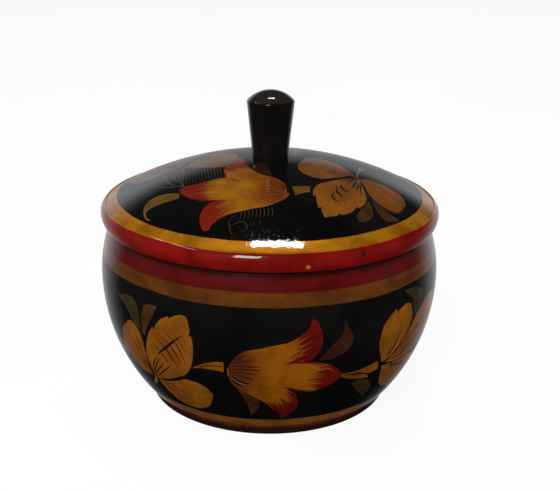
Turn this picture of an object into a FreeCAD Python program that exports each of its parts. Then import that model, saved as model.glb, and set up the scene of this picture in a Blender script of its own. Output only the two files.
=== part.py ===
"""Lidded sugar bowl of turned linden wood: bowl, lid and lid knob.

Every piece is a solid of revolution about +Z. The origin is the middle of the
foot ring's resting face. Lengths are in millimetres.
"""
import FreeCAD, Part
import math
import os

# ---- Bowl, outside --------------------------------------------------------
BELLY_RADIUS = 60.7          # widest radius of the bowl
BELLY_HEIGHT = 46.0          # height of the widest circle
LOWER_ARC = 66.0             # profile radius below the widest circle
UPPER_ARC = 47.5             # profile radius above the widest circle
SEAT_HEIGHT = 64.4           # flat top of the rim, where the lid rests
RIM_ROUND = 1.4              # rounding of the rim's outer edge
FOOT_RADIUS = 43.8           # outer wall of the foot ring
FOOT_HEIGHT = 3.2            # height of the foot ring's straight wall
FOOT_ROUND = 0.7             # rounding of the foot ring's lower edge
COVE_TOP = 4.8               # height where the body starts above the foot
COVE_BOW_OUT = 0.3           # how far out the cove's middle lies, of its width
COVE_BOW_UP = 0.62           # how far up the cove's middle lies, of its height

# ---- Bowl, inside and underneath ------------------------------------------
MOUTH_RADIUS = 51.6          # straight mouth that takes the lid's lip
MOUTH_DEPTH = 6.4            # how far the straight mouth goes down
INNER_RADIUS = 54.2          # widest radius of the hollow
MOUTH_BOW = 0.64             # how far out the wall's middle lies below the mouth
INNER_LOWER_ARC = 58.0       # profile radius of the hollow below its widest
FLOOR_HEIGHT = 9.0           # top of the floor inside
FLOOR_BLEND = 20.0           # profile radius between floor and wall
RECESS_RADIUS = 37.0         # shallow recess inside the foot ring
RECESS_DEPTH = 1.6

# ---- Lid -------------------------------------------------------------------
LID_RADIUS = 60.2            # widest radius of the lid
LID_WIDEST = 68.5            # height of the widest circle
LID_APEX = 86.6              # top of the dome, as if it had no knob seat
DOME_ARC = 119.1             # profile radius of the dome
LID_SHOULDER = 3.7           # rounding between dome and edge
LID_EDGE_RADIUS = 59.3       # lower edge of the lid
LID_EDGE_HEIGHT = 65.2
LID_EDGE_BOW = 0.28          # how far in the edge's middle lies, of its width
LID_SEAT_RADIUS = 57.2       # outer radius of the flat that rests on the rim
LIP_CLEARANCE = 0.4          # radial play of the lip in the mouth
LIP_DEPTH = 4.0              # how far the lip drops into the mouth
LIP_WIDTH = 4.4
LIP_EASE = 0.8               # chamfer on the lip's lower outer edge
HOLLOW_APEX = 79.4           # highest point of the hollow under the lid
HOLLOW_ARC = 98.3            # profile radius of that hollow

# ---- Knob ------------------------------------------------------------------
KNOB_SEAT_HEIGHT = 86.2      # flat turned on the dome for the knob
KNOB_FOOT_RADIUS = 6.5
KNOB_WAIST_RADIUS = 6.7
KNOB_WAIST_HEIGHT = 90.5
KNOB_RADIUS = 8.35           # widest radius of the knob
KNOB_WIDEST = 106.2
KNOB_SHOULDER = 1.1          # rounding between the side and the crown
KNOB_TOP = 110.4
TENON_RADIUS = 4.0


def point(radius, height):
    """A point of a profile, in the plane y = 0."""
    return FreeCAD.Vector(radius, 0.0, height)


def line(start, end):
    return Part.LineSegment(start, end).toShape()


def arc(start, middle, end):
    return Part.Arc(start, middle, end).toShape()


def arc_about(centre, radius, first_angle, last_angle):
    """A circular arc about centre, angles in radians from +radius to +Z."""
    def on_circle(angle):
        return point(centre[0] + radius * math.cos(angle),
                     centre[1] + radius * math.sin(angle))
    middle = 0.5 * (first_angle + last_angle)
    return arc(on_circle(first_angle), on_circle(middle), on_circle(last_angle))


def smooth(points):
    """One smooth curve through a few profile points."""
    curve = Part.BSplineCurve()
    curve.interpolate(points)
    return curve.toShape()


def revolve(edges):
    """Turn a closed profile about +Z into one solid."""
    wire = Part.Wire(Part.__sortEdges__(edges))
    face = Part.Face(wire)
    return face.revolve(FreeCAD.Vector(0, 0, 0), FreeCAD.Vector(0, 0, 1), 360.0)


def lower_body_radius(height):
    """Outside radius of the bowl below its widest circle."""
    drop = BELLY_HEIGHT - height
    return BELLY_RADIUS - LOWER_ARC + math.sqrt(LOWER_ARC ** 2 - drop ** 2)


def dome_height(radius):
    return LID_APEX - DOME_ARC + math.sqrt(DOME_ARC ** 2 - radius ** 2)


def hollow_height(radius):
    return HOLLOW_APEX - HOLLOW_ARC + math.sqrt(HOLLOW_ARC ** 2 - radius ** 2)


def bowl():
    """The bowl: foot ring, round body, flat rim, straight mouth and hollow."""
    # Foot ring and the cove that joins it to the body.
    recess_top = point(RECESS_RADIUS, RECESS_DEPTH)
    ring_inner = point(RECESS_RADIUS, 0.0)
    ring_outer = point(FOOT_RADIUS - FOOT_ROUND, 0.0)
    wall_low = point(FOOT_RADIUS, FOOT_ROUND)
    wall_high = point(FOOT_RADIUS, FOOT_HEIGHT)
    body_low = point(lower_body_radius(COVE_TOP), COVE_TOP)
    cove_middle = point(FOOT_RADIUS + COVE_BOW_OUT * (body_low.x - FOOT_RADIUS),
                        FOOT_HEIGHT + COVE_BOW_UP * (COVE_TOP - FOOT_HEIGHT))
    # Body, from the cove over the widest circle to the rim.
    # The rim's rounding touches the body's upper arc and the flat seat.
    upper_centre = BELLY_RADIUS - UPPER_ARC
    rim_height = SEAT_HEIGHT - RIM_ROUND
    rim_rise = rim_height - BELLY_HEIGHT
    rim_radius = upper_centre + math.sqrt((UPPER_ARC - RIM_ROUND) ** 2 - rim_rise ** 2)
    rim_angle = math.atan2(rim_rise, rim_radius - upper_centre)
    half_low = 0.5 * (COVE_TOP + BELLY_HEIGHT)
    belly = point(BELLY_RADIUS, BELLY_HEIGHT)
    # Mouth and hollow.
    mouth_top = point(MOUTH_RADIUS, SEAT_HEIGHT)
    mouth_low = point(MOUTH_RADIUS, SEAT_HEIGHT - MOUTH_DEPTH)
    hollow_widest = point(INNER_RADIUS, BELLY_HEIGHT)
    mouth_bulge = point(MOUTH_RADIUS + MOUTH_BOW * (INNER_RADIUS - MOUTH_RADIUS),
                        0.5 * (mouth_low.z + BELLY_HEIGHT))
    # The wall's arc and the floor meet in a blend that is tangent to both.
    wall_centre = INNER_RADIUS - INNER_LOWER_ARC
    blend_height = FLOOR_HEIGHT + FLOOR_BLEND
    reach = INNER_LOWER_ARC - FLOOR_BLEND
    blend_radius = wall_centre + math.sqrt(reach ** 2 - (BELLY_HEIGHT - blend_height) ** 2)
    meeting_angle = math.atan2(blend_height - BELLY_HEIGHT, blend_radius - wall_centre)
    edges = [
        line(point(0.0, RECESS_DEPTH), recess_top),
        line(recess_top, ring_inner),
        line(ring_inner, ring_outer),
        arc_about((FOOT_RADIUS - FOOT_ROUND, FOOT_ROUND), FOOT_ROUND, -0.5 * math.pi, 0.0),
        line(wall_low, wall_high),
        arc(wall_high, cove_middle, body_low),
        arc(body_low, point(lower_body_radius(half_low), half_low), belly),
        arc_about((upper_centre, BELLY_HEIGHT), UPPER_ARC, 0.0, rim_angle),
        arc_about((rim_radius, rim_height), RIM_ROUND, rim_angle, 0.5 * math.pi),
        line(point(rim_radius, SEAT_HEIGHT), mouth_top),
        line(mouth_top, mouth_low),
        arc(mouth_low, mouth_bulge, hollow_widest),
        arc_about((wall_centre, BELLY_HEIGHT), INNER_LOWER_ARC, 0.0, meeting_angle),
        arc_about((blend_radius, blend_height), FLOOR_BLEND, meeting_angle, -0.5 * math.pi),
        line(point(blend_radius, FLOOR_HEIGHT), point(0.0, FLOOR_HEIGHT)),
        line(point(0.0, FLOOR_HEIGHT), point(0.0, RECESS_DEPTH)),
    ]
    return revolve(edges)


def lid():
    """The lid: shallow dome, rounded edge, locating lip, hollow underneath."""
    # The shoulder's circle touches the widest circle and the dome.
    shoulder_radius = LID_RADIUS - LID_SHOULDER
    shoulder_height = LID_WIDEST
    dome_centre_height = LID_APEX - DOME_ARC
    meeting_angle = math.atan2(shoulder_height - dome_centre_height, shoulder_radius)
    dome_end = point(shoulder_radius + LID_SHOULDER * math.cos(meeting_angle),
                     shoulder_height + LID_SHOULDER * math.sin(meeting_angle))
    dome_start_radius = KNOB_FOOT_RADIUS
    dome_start = point(dome_start_radius, dome_height(dome_start_radius))
    dome_half = 0.5 * (dome_start_radius + dome_end.x)
    widest = point(LID_RADIUS, LID_WIDEST)
    edge = point(LID_EDGE_RADIUS, LID_EDGE_HEIGHT)
    edge_middle = point(LID_RADIUS - LID_EDGE_BOW * (LID_RADIUS - LID_EDGE_RADIUS),
                        0.5 * (LID_WIDEST + LID_EDGE_HEIGHT))
    seat_outer = point(LID_SEAT_RADIUS, SEAT_HEIGHT)
    lip_radius = MOUTH_RADIUS - LIP_CLEARANCE
    seat_inner = point(lip_radius, SEAT_HEIGHT)
    lip_low = SEAT_HEIGHT - LIP_DEPTH
    lip_side = point(lip_radius, lip_low + LIP_EASE)
    lip_outer = point(lip_radius - LIP_EASE, lip_low)
    hollow_radius = lip_radius - LIP_WIDTH
    lip_inner = point(hollow_radius, lip_low)
    hollow_wall = point(hollow_radius, hollow_height(hollow_radius))
    tenon_low = point(TENON_RADIUS, hollow_height(TENON_RADIUS))
    hollow_half = 0.5 * (hollow_radius + TENON_RADIUS)
    edges = [
        line(point(TENON_RADIUS, KNOB_SEAT_HEIGHT), point(dome_start_radius, KNOB_SEAT_HEIGHT)),
        line(point(dome_start_radius, KNOB_SEAT_HEIGHT), dome_start),
        arc(dome_start, point(dome_half, dome_height(dome_half)), dome_end),
        arc_about((shoulder_radius, shoulder_height), LID_SHOULDER, meeting_angle, 0.0),
        arc(widest, edge_middle, edge),
        line(edge, seat_outer),
        line(seat_outer, seat_inner),
        line(seat_inner, lip_side),
        line(lip_side, lip_outer),
        line(lip_outer, lip_inner),
        line(lip_inner, hollow_wall),
        arc(hollow_wall, point(hollow_half, hollow_height(hollow_half)), tenon_low),
        line(tenon_low, point(TENON_RADIUS, KNOB_SEAT_HEIGHT)),
    ]
    return revolve(edges)


def lid_knob():
    """The knob: flared stem with a domed crown, and a tenon glued in the lid."""
    tenon_low = hollow_height(TENON_RADIUS)
    foot = point(KNOB_FOOT_RADIUS, KNOB_SEAT_HEIGHT)
    side = smooth([
        foot,
        point(KNOB_WAIST_RADIUS, KNOB_WAIST_HEIGHT),
        point(0.5 * (KNOB_WAIST_RADIUS + KNOB_RADIUS), 0.5 * (KNOB_WAIST_HEIGHT + KNOB_WIDEST)),
        point(KNOB_RADIUS, KNOB_WIDEST),
    ])
    # The crown's circle has its centre on the axis and touches the shoulder.
    shoulder_radius = KNOB_RADIUS - KNOB_SHOULDER
    rise = KNOB_TOP - KNOB_WIDEST
    crown_arc = (shoulder_radius ** 2 + rise ** 2 - KNOB_SHOULDER ** 2) / (2 * (rise - KNOB_SHOULDER))
    crown_centre = KNOB_TOP - crown_arc
    meeting_angle = math.atan2(KNOB_WIDEST - crown_centre, shoulder_radius)
    edges = [
        line(point(0.0, tenon_low), point(TENON_RADIUS, tenon_low)),
        line(point(TENON_RADIUS, tenon_low), point(TENON_RADIUS, KNOB_SEAT_HEIGHT)),
        line(point(TENON_RADIUS, KNOB_SEAT_HEIGHT), foot),
        side,
        arc_about((shoulder_radius, KNOB_WIDEST), KNOB_SHOULDER, 0.0, meeting_angle),
        arc_about((0.0, crown_centre), crown_arc, meeting_angle, 0.5 * math.pi),
        line(point(0.0, KNOB_TOP), point(0.0, tenon_low)),
    ]
    return revolve(edges)


def main():
    os.makedirs("parts", exist_ok=True)
    pieces = {"bowl": bowl(), "lid": lid(), "lid_knob": lid_knob()}
    for name, shape in pieces.items():
        print(name, shape.ShapeType, shape.isValid(), round(shape.Volume, 1), shape.BoundBox)
        shape.exportStep("parts/" + name + ".step")


main()
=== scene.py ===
"""Looks of the lidded khokhloma sugar bowl: bowl, lid and lid knob under painted lacquer.

Each piece is one closed mesh turned about +Z on the same profile as its CAD solid. The painted
fields are drawn flat, in millimetres, as outlines in painter's order. They are triangulated
together, and then laid on the turned surface. Object coordinates are metres, as in model.glb.
"""

import math
import random

import bpy
from mathutils import Matrix, Vector, geometry, noise


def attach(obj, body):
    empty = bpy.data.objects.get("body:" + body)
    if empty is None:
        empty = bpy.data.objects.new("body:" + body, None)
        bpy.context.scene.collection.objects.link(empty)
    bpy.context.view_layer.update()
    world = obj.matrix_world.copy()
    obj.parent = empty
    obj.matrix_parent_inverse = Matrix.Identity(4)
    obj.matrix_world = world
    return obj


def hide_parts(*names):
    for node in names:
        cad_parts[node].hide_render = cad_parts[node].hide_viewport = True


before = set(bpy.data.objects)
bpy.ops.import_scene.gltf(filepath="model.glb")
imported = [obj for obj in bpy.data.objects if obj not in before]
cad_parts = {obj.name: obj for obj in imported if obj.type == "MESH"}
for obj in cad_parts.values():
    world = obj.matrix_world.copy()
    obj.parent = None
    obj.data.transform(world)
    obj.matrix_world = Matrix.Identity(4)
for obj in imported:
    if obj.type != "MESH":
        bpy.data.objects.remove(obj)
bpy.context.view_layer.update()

MM = 0.001
COLUMNS = 288                 # columns of every turned strip

# ---- Profile dimensions, in millimetres, as in the CAD ----------------------
BELLY_RADIUS = 60.7
BELLY_HEIGHT = 46.0
LOWER_ARC = 66.0
UPPER_ARC = 47.5
SEAT_HEIGHT = 64.4
RIM_ROUND = 1.4
FOOT_RADIUS = 43.8
FOOT_HEIGHT = 3.2
FOOT_ROUND = 0.7
COVE_TOP = 4.8
COVE_BOW_OUT = 0.3
COVE_BOW_UP = 0.62
COVE_LEAN = -0.45             # normal angles in the cove's middle and at its foot, in radians
COVE_END_LEAN = -0.1
MOUTH_RADIUS = 51.6
MOUTH_DEPTH = 6.4
INNER_RADIUS = 54.2
INNER_LOWER_ARC = 58.0
FLOOR_HEIGHT = 9.0
FLOOR_BLEND = 20.0
RECESS_RADIUS = 37.0
RECESS_DEPTH = 1.6

LID_RADIUS = 60.2
LID_WIDEST = 68.5
LID_APEX = 86.6
DOME_ARC = 119.1
LID_SHOULDER = 3.7
LID_EDGE_RADIUS = 59.3
LID_EDGE_HEIGHT = 65.2
LID_EDGE_START = 0.12         # slope of the edge at its top, as a share of its whole slope
LID_SEAT_RADIUS = 57.2
LIP_CLEARANCE = 0.4
LIP_DEPTH = 4.0
LIP_WIDTH = 4.4
LIP_EASE = 0.8
HOLLOW_APEX = 79.4
HOLLOW_ARC = 98.3

KNOB_SEAT_HEIGHT = 86.2
KNOB_FOOT_RADIUS = 6.5
KNOB_WAIST_RADIUS = 6.7
KNOB_WAIST_HEIGHT = 90.5
KNOB_RADIUS = 8.35
KNOB_WIDEST = 106.2
KNOB_SHOULDER = 1.1
KNOB_TOP = 110.4
TENON_RADIUS = 4.0

# ---- Where the painted bands meet, in millimetres ----------------------------
LID_FIELD_RADIUS = 54.4       # black field of the lid ends, gold band starts
LID_BAND_RADIUS = 59.0        # gold band of the lid ends, red edge starts
RIM_RED_LOW = 58.35           # height where the bowl's red rim ends
FIELD_TOP = 53.75             # height where the bowl's gold band ends
FIELD_DEPTH = 47.34           # length of the bowl's black field along the profile
MOTIF_RISE = 0.46             # how far above the field's top edge the motifs' y starts
GIRTH = 2 * math.pi * BELLY_RADIUS
REPEAT = GIRTH / 2            # the bowl's pattern comes round twice
GRID = 1.15                   # spacing of the mesh inside a painted field
EDGE_SWAY = 0.28              # how far the painted bands' edges wander
REAR_TURN = 201.0             # degrees from the lid's front motifs round to the rear ones
SECOND_LILY = 92.0            # how far round the bowl the second lily stands from the first
NEAR = 1e-3                   # a flat point this close to a field's edge is on it
CHORD = 6e-3                  # the same where a lid field's edge is made of chords, which cut inside
CHORD_AT_KNOB = 2e-3


# =============================================================================
# Profiles
# =============================================================================

def arc_points(centre, radius, first, last, steps):
    """Points (r, z, normal angle) of a circular arc about centre = (r, z)."""
    points = []
    for i in range(steps + 1):
        angle = first + (last - first) * i / steps
        points.append((centre[0] + radius * math.cos(angle),
                       centre[1] + radius * math.sin(angle), angle))
    return points


def straight(start, end, steps, angle):
    """Points of a straight run whose outward normal has one angle."""
    return [(start[0] + (end[0] - start[0]) * i / steps,
             start[1] + (end[1] - start[1]) * i / steps, angle) for i in range(steps + 1)]


def flipped(points):
    """The same run for a surface that faces the arc's centre."""
    return [(r, z, angle + math.pi) for r, z, angle in points]


UP = 0.5 * math.pi
DOWN = -0.5 * math.pi
UPPER_CENTRE = (BELLY_RADIUS - UPPER_ARC, BELLY_HEIGHT)
LOWER_CENTRE = (BELLY_RADIUS - LOWER_ARC, BELLY_HEIGHT)
FIELD_ANGLE = math.asin((FIELD_TOP - BELLY_HEIGHT) / UPPER_ARC)
FIELD_UPPER = UPPER_ARC * FIELD_ANGLE


def bowl_wall(depth):
    """(r, z, normal angle) of the bowl's outside, depth millimetres below the gold band."""
    if depth < FIELD_UPPER:
        angle = FIELD_ANGLE - depth / UPPER_ARC
        centre, radius = UPPER_CENTRE, UPPER_ARC
    else:
        angle = (FIELD_UPPER - depth) / LOWER_ARC
        centre, radius = LOWER_CENTRE, LOWER_ARC
    return centre[0] + radius * math.cos(angle), centre[1] + radius * math.sin(angle), angle


def dome(radius):
    """(r, z, normal angle) of the lid's dome."""
    angle = math.acos(radius / DOME_ARC)
    return radius, LID_APEX - DOME_ARC + DOME_ARC * math.sin(angle), angle


def on_bowl(x, y):
    """Place and normal on the bowl of a painted point: x round from the front, y downwards."""
    r, z, angle = bowl_wall(y)
    turn = x / BELLY_RADIUS
    out = Vector((math.sin(turn), -math.cos(turn), 0.0))
    place = out * r + Vector((0, 0, z))
    return place * MM, out * math.cos(angle) + Vector((0, 0, math.sin(angle)))


def on_lid(x, y):
    """Place and normal on the lid of a painted point, seen from above."""
    radius = math.hypot(x, y)
    r, z, angle = dome(radius)
    out = Vector((x / radius, y / radius, 0.0))
    place = Vector((x, y, z))
    return place * MM, out * math.cos(angle) + Vector((0, 0, math.sin(angle)))


# =============================================================================
# Drawing
# =============================================================================

def catmull(points, closed, steps=4):
    """A smooth curve through the points, as a finer list."""
    count = len(points)
    if count < 3 and not closed:
        return list(points)
    fine = []
    last = count if closed else count - 1
    for i in range(last):
        if closed:
            p0, p1, p2, p3 = (points[(i + k) % count] for k in (-1, 0, 1, 2))
        else:
            p1, p2 = points[i], points[i + 1]
            p0 = points[i - 1] if i > 0 else (2 * p1[0] - p2[0], 2 * p1[1] - p2[1])
            p3 = points[i + 2] if i + 2 < count else (2 * p2[0] - p1[0], 2 * p2[1] - p1[1])
        for k in range(steps):
            t = k / steps
            fine.append(tuple(
                0.5 * (2 * b + (c - a) * t + (2 * a - 5 * b + 4 * c - d) * t * t
                       + (3 * b - a - 3 * c + d) * t ** 3)
                for a, b, c, d in zip(p0, p1, p2, p3)))
    if not closed:
        fine.append(points[-1])
    return fine


def outline(points, corners=()):
    """A closed outline through the points, smooth except at the numbered corners."""
    if not corners:
        return catmull(points, True)
    count = len(points)
    result = []
    for k, start in enumerate(corners):
        end = corners[(k + 1) % len(corners)]
        if end <= start:
            end += count
        run = [points[i % count] for i in range(start, end + 1)]
        result += catmull(run, False)[:-1]
    return result


def stroke(points, width, head, tail):
    """A brush stroke along the points: widest in the middle, head and tail give its end widths."""
    path = catmull(points, False)
    lengths = [0.0]
    for a, b in zip(path, path[1:]):
        lengths.append(lengths[-1] + math.dist(a, b))
    left, right = [], []
    for i, (x, y) in enumerate(path):
        before = path[max(i - 1, 0)]
        after = path[min(i + 1, len(path) - 1)]
        dx, dy = after[0] - before[0], after[1] - before[1]
        size = math.hypot(dx, dy)
        t = lengths[i] / lengths[-1]
        swell = math.sin(math.pi * t) ** 0.7 if 0 < t < 1 else 0.0
        half = 0.5 * width * max(swell, head * (1 - t), tail * t, 0.06)
        left.append((x - dy / size * half, y + dx / size * half))
        right.append((x + dy / size * half, y - dx / size * half))
    return left + right[::-1]


class Layer:
    """One painted shape: its outline, paint, brush direction and, on a petal, its red tip."""

    def __init__(self, shape, paint, base=(0.0, 0.0), towards=(1.0, 0.0), tip=None, seed=0.0):
        size = math.hypot(towards[0] - base[0], towards[1] - base[1]) or 1.0
        self.shape = shape
        self.paint = paint
        self.base = base
        self.axis = ((towards[0] - base[0]) / size, (towards[1] - base[1]) / size)
        self.tip = tip
        self.seed = seed

    def changed(self, change, seed):
        """The same layer with every point moved by change."""
        moved = Layer([change(p) for p in self.shape], self.paint, change(self.base),
                      seed=self.seed + seed)
        far = change((self.base[0] + self.axis[0], self.base[1] + self.axis[1]))
        size = math.dist(far, moved.base)
        moved.axis = ((far[0] - moved.base[0]) / size, (far[1] - moved.base[1]) / size)
        if self.tip:
            moved.tip = [change(p) for p in self.tip]
        return moved

    def brush(self, point):
        """Brush coordinates: along the stroke, across it, and the shape's own number."""
        dx, dy = point[0] - self.base[0], point[1] - self.base[1]
        return (dx * self.axis[0] + dy * self.axis[1],
                dy * self.axis[0] - dx * self.axis[1], self.seed)

    def beyond_tip(self, point):
        """How far a point lies past the line where the petal turns red."""
        if not self.tip:
            return -50.0
        best = None
        for a, b in zip(self.tip, self.tip[1:]):
            dx, dy = b[0] - a[0], b[1] - a[1]
            t = ((point[0] - a[0]) * dx + (point[1] - a[1]) * dy) / (dx * dx + dy * dy)
            t = min(max(t, 0.0), 1.0)
            near = (a[0] + t * dx, a[1] + t * dy)
            gap = (point[0] - near[0], point[1] - near[1])
            size = math.hypot(*gap)
            if best is None or size < best[0]:
                best = (size, gap[0] * self.axis[0] + gap[1] * self.axis[1])
        return math.copysign(best[0], best[1])


def wander(amount, seed):
    """A slow hand-drawn variation, the same for every point of one motif."""
    def change(point):
        x, y = 0.06 * point[0], 0.06 * point[1]
        return (point[0] + amount * noise.noise(Vector((x, y, seed))),
                point[1] + amount * noise.noise(Vector((x, y, seed + 0.5))))
    return change


class Motif:
    """Collects the layers of one motif. Each layer gets its own seed: start, start + step and so on."""

    def __init__(self, step, start):
        self.layers = []
        self.step, self.start = step, start

    def add(self, shape, paint, base, towards, tip=None):
        seed = self.step * len(self.layers) + self.start
        self.layers.append(Layer(shape, paint, base, towards, tip, seed))

    def lines(self, ends, width, head, tail, paint):
        """One straight stroke for each (start, end)."""
        for start, end in ends:
            self.add(stroke([start, end], width, head, tail), paint, start, end)

    def curves(self, rows, head, tail, paint):
        """One bent stroke for each (start, middle, end, width)."""
        for start, middle, end, width in rows:
            self.add(stroke([start, middle, end], width, head, tail), paint, start, end)

    def streaks(self, rows, bow, head, tail, paint):
        """One slightly bowed stroke for each (x0, y0, x1, y1, width)."""
        self.curves([((x0, y0), (0.5 * (x0 + x1), 0.5 * (y0 + y1) + bow), (x1, y1), width)
                     for x0, y0, x1, y1, width in rows], head, tail, paint)

    def fan(self, start, root, branches, width, head, tail, paint):
        """Bent strokes from one start, one for each (middle, end), brushed from the root."""
        for middle, end in branches:
            self.add(stroke([start, middle, end], width, head, tail), paint, root, end)

    def veins(self, start, root, ends, bow, width, head, paint):
        """Bowed strokes from one start to each end, brushed from the root."""
        branches = [((0.5 * (start[0] + x), 0.5 * (start[1] + y) + bow), (x, y)) for x, y in ends]
        self.fan(start, root, branches, width, head, 0.0, paint)

    def backed_leaf(self, points, corners, shift, root, towards):
        """A leaf over a dark copy of itself, moved by shift, which shows along one edge."""
        behind = [(x + shift[0], y + shift[1]) for x, y in points]
        self.add(outline(behind, corners), "dark", root, towards)
        self.add(outline(points, corners), "leaf", root, towards)


def shifted(dx, dy=0.0):
    """A change that moves every point by (dx, dy)."""
    return lambda point: (point[0] + dx, point[1] + dy)


def rotated(degrees):
    """A change that turns every point about the origin."""
    cosine, sine = math.cos(math.radians(degrees)), math.sin(math.radians(degrees))
    return lambda point: (cosine * point[0] - sine * point[1], sine * point[0] + cosine * point[1])


# =============================================================================
# Motifs on the bowl. x runs to the right from the front, y down from the gold band.
# =============================================================================

def bowl_lily():
    """The lily in front, with its stems and the leaves behind it."""
    motif = Motif(1.7, 0.3)
    add = motif.add
    # Stems left and right of the flower.
    add(outline([(-26.3, 24.8), (-24.7, 23.6), (-21.7, 22.0), (-19.3, 21.1), (-17, 20.5), (-14.8, 20.3),
                 (-14.7, 22.2), (-15, 24.5), (-17, 24), (-21.7, 24), (-24.6, 24.4)], (0, 5, 7)),
        "gold", (-26, 24), (-15, 22))
    add(stroke([(-24.5, 24.0), (-21.5, 22.9), (-18.5, 22.3), (-15.5, 22.2)], 0.45, 0.2, 0.9),
        "dark", (-24, 24), (-15, 22))
    add(outline([(24.8, 26.2), (28, 26.7), (31.5, 26.6), (35.5, 26.1), (38, 25.5), (40.3, 25.1),
                 (41.2, 26.9), (41.4, 28.8), (39, 29.3), (36.6, 29.4), (37.3, 30.3), (37.8, 31.3),
                 (34.8, 30.8), (31.8, 30.2), (28.6, 29.2), (26, 28)], (0, 5, 7, 11)),
        "gold", (25, 27), (38, 29))
    add(stroke([(26.5, 27.2), (30, 27.8), (33.5, 28.3), (37.5, 29.6)], 0.7, 0.3, 0.4),
        "ground", (25, 27), (38, 29))
    # Leaves behind the flower.
    add(outline([(16.3, 19.4), (18.3, 17.3), (20, 15.2), (22, 13.2), (24, 11.3), (24.7, 9.3),
                 (24.8, 6.2), (26.3, 9), (27.7, 11.3), (28.1, 14), (27.3, 16), (25.7, 17.7), (23, 18.8),
                 (20, 19.5)], (0, 6)),
        "maroon", (17, 19), (26, 9))
    add(outline([(-10.5, 31.2), (-9, 34.7), (-8.2, 37.3), (-7.3, 39.7), (-6.9, 42), (-6.7, 45),
                 (-4.7, 42.7), (-3.4, 40.3), (-3, 38.3), (-3.4, 35)], (0, 5, 9)),
        "tawny", (-9, 32), (-6, 44))
    # Petals: upper, middle, lower.
    add(outline([(-13.3, 22.5), (-12.6, 20.6), (-11.5, 19), (-10, 17.3), (-8.3, 15.9), (-6, 14.9),
                 (-2, 14.1), (0, 13.5), (3, 12.8), (6.3, 12.1), (9, 10.7), (10.7, 9.3), (12.3, 8),
                 (13.2, 6.8), (13.5, 5.2), (14, 4.5), (15.3, 5.2), (16.3, 7), (17.2, 9.3), (17.5, 11.7),
                 (17.2, 14.3), (16.3, 16.3), (15, 18.2), (13, 19.2), (9.7, 19.5), (7.7, 19.6), (0, 24)],
                (0, 15, 25)),
        "petal", (-12, 21), (16, 9), [(8.6, 9.5), (10.6, 13), (10.8, 16), (8.0, 20)])
    add(outline([(6.3, 30.3), (8.3, 32), (9.7, 33.7), (10.7, 35.7), (11.2, 37.7), (10.8, 40),
                 (9.7, 42.3), (8, 44.6), (6.7, 46.8), (5.1, 46.3), (4.6, 44.3), (3.7, 42.7), (2, 41),
                 (0.7, 39.2), (-1, 37.3), (-3, 35.7), (-5.7, 33.8), (-8.7, 32), (-11, 30.3),
                 (-12.4, 28.7), (-13.2, 26.7), (-13.5, 25.2), (-6, 24), (2, 27)], (0, 8, 21)),
        "petal", (-12, 26), (7, 44), [(-1, 37.8), (1.6, 38.2), (4.4, 38.6), (6.6, 36.0), (7.6, 32)])
    add(outline([(-13.4, 22.5), (-6, 20.2), (1, 19.6), (8, 19.7), (13, 19.8), (16.3, 20.3), (19.7, 21.3),
                 (22.3, 22.7), (24.3, 24.6), (25.5, 26.4), (24.6, 28.6), (22, 30.3), (19, 31.7),
                 (15.7, 32.4), (12.3, 32.1), (9, 30.9), (6.3, 29.9), (2, 28.9), (-6, 28.4),
                 (-13.4, 25.6)], (0, 9, 19)),
        "petal", (-13, 24), (24, 26.5), [(21, 20), (18.6, 22.5), (16.6, 25.5), (16.3, 29), (17.5, 33)])
    # Red and orange lines along the petals' edges.
    add(stroke([(5.0, 19.9), (9, 19.6), (13, 20.0), (17, 20.9), (20.5, 22.3)], 0.75, 0.3, 0.5),
        "red", (5, 20), (20, 22))
    add(stroke([(14, 20.9), (17.5, 21.8), (20.5, 23.2), (22.8, 25.2)], 0.6, 0.2, 0.2),
        "orange", (14, 21), (23, 25))
    add(stroke([(4.3, 29.4), (7.5, 30.3), (11, 31.4), (14.5, 32.0), (18, 31.8)], 0.8, 0.3, 0.6),
        "red", (4, 29), (18, 32))
    add(stroke([(6.0, 30.3), (8, 31.7), (9.8, 34), (10.6, 36.5)], 0.5, 0.2, 0.4), "red", (6, 30), (10, 36))
    add(stroke([(11.5, 19.2), (14.2, 17.6), (16.0, 15.0), (16.6, 12.0)], 0.35, 0.2, 0.2),
        "maroon", (11, 19), (16, 12))
    # Fine hairs where gold runs out into red.
    motif.lines([((9.6, 12.2), (13.4, 9.6)), ((10.2, 14.0), (14.4, 11.6)), ((10.2, 15.8), (14.2, 14.0)),
                 ((9.6, 17.4), (13.2, 16.4)), ((3.2, 37.4), (4.4, 41.4)), ((4.8, 37.6), (6.2, 41.2)),
                 ((6.0, 36.0), (8.0, 39.0)), ((6.8, 34.0), (9.2, 36.6))], 0.5, 0.9, 0.0, "gold")
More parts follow.
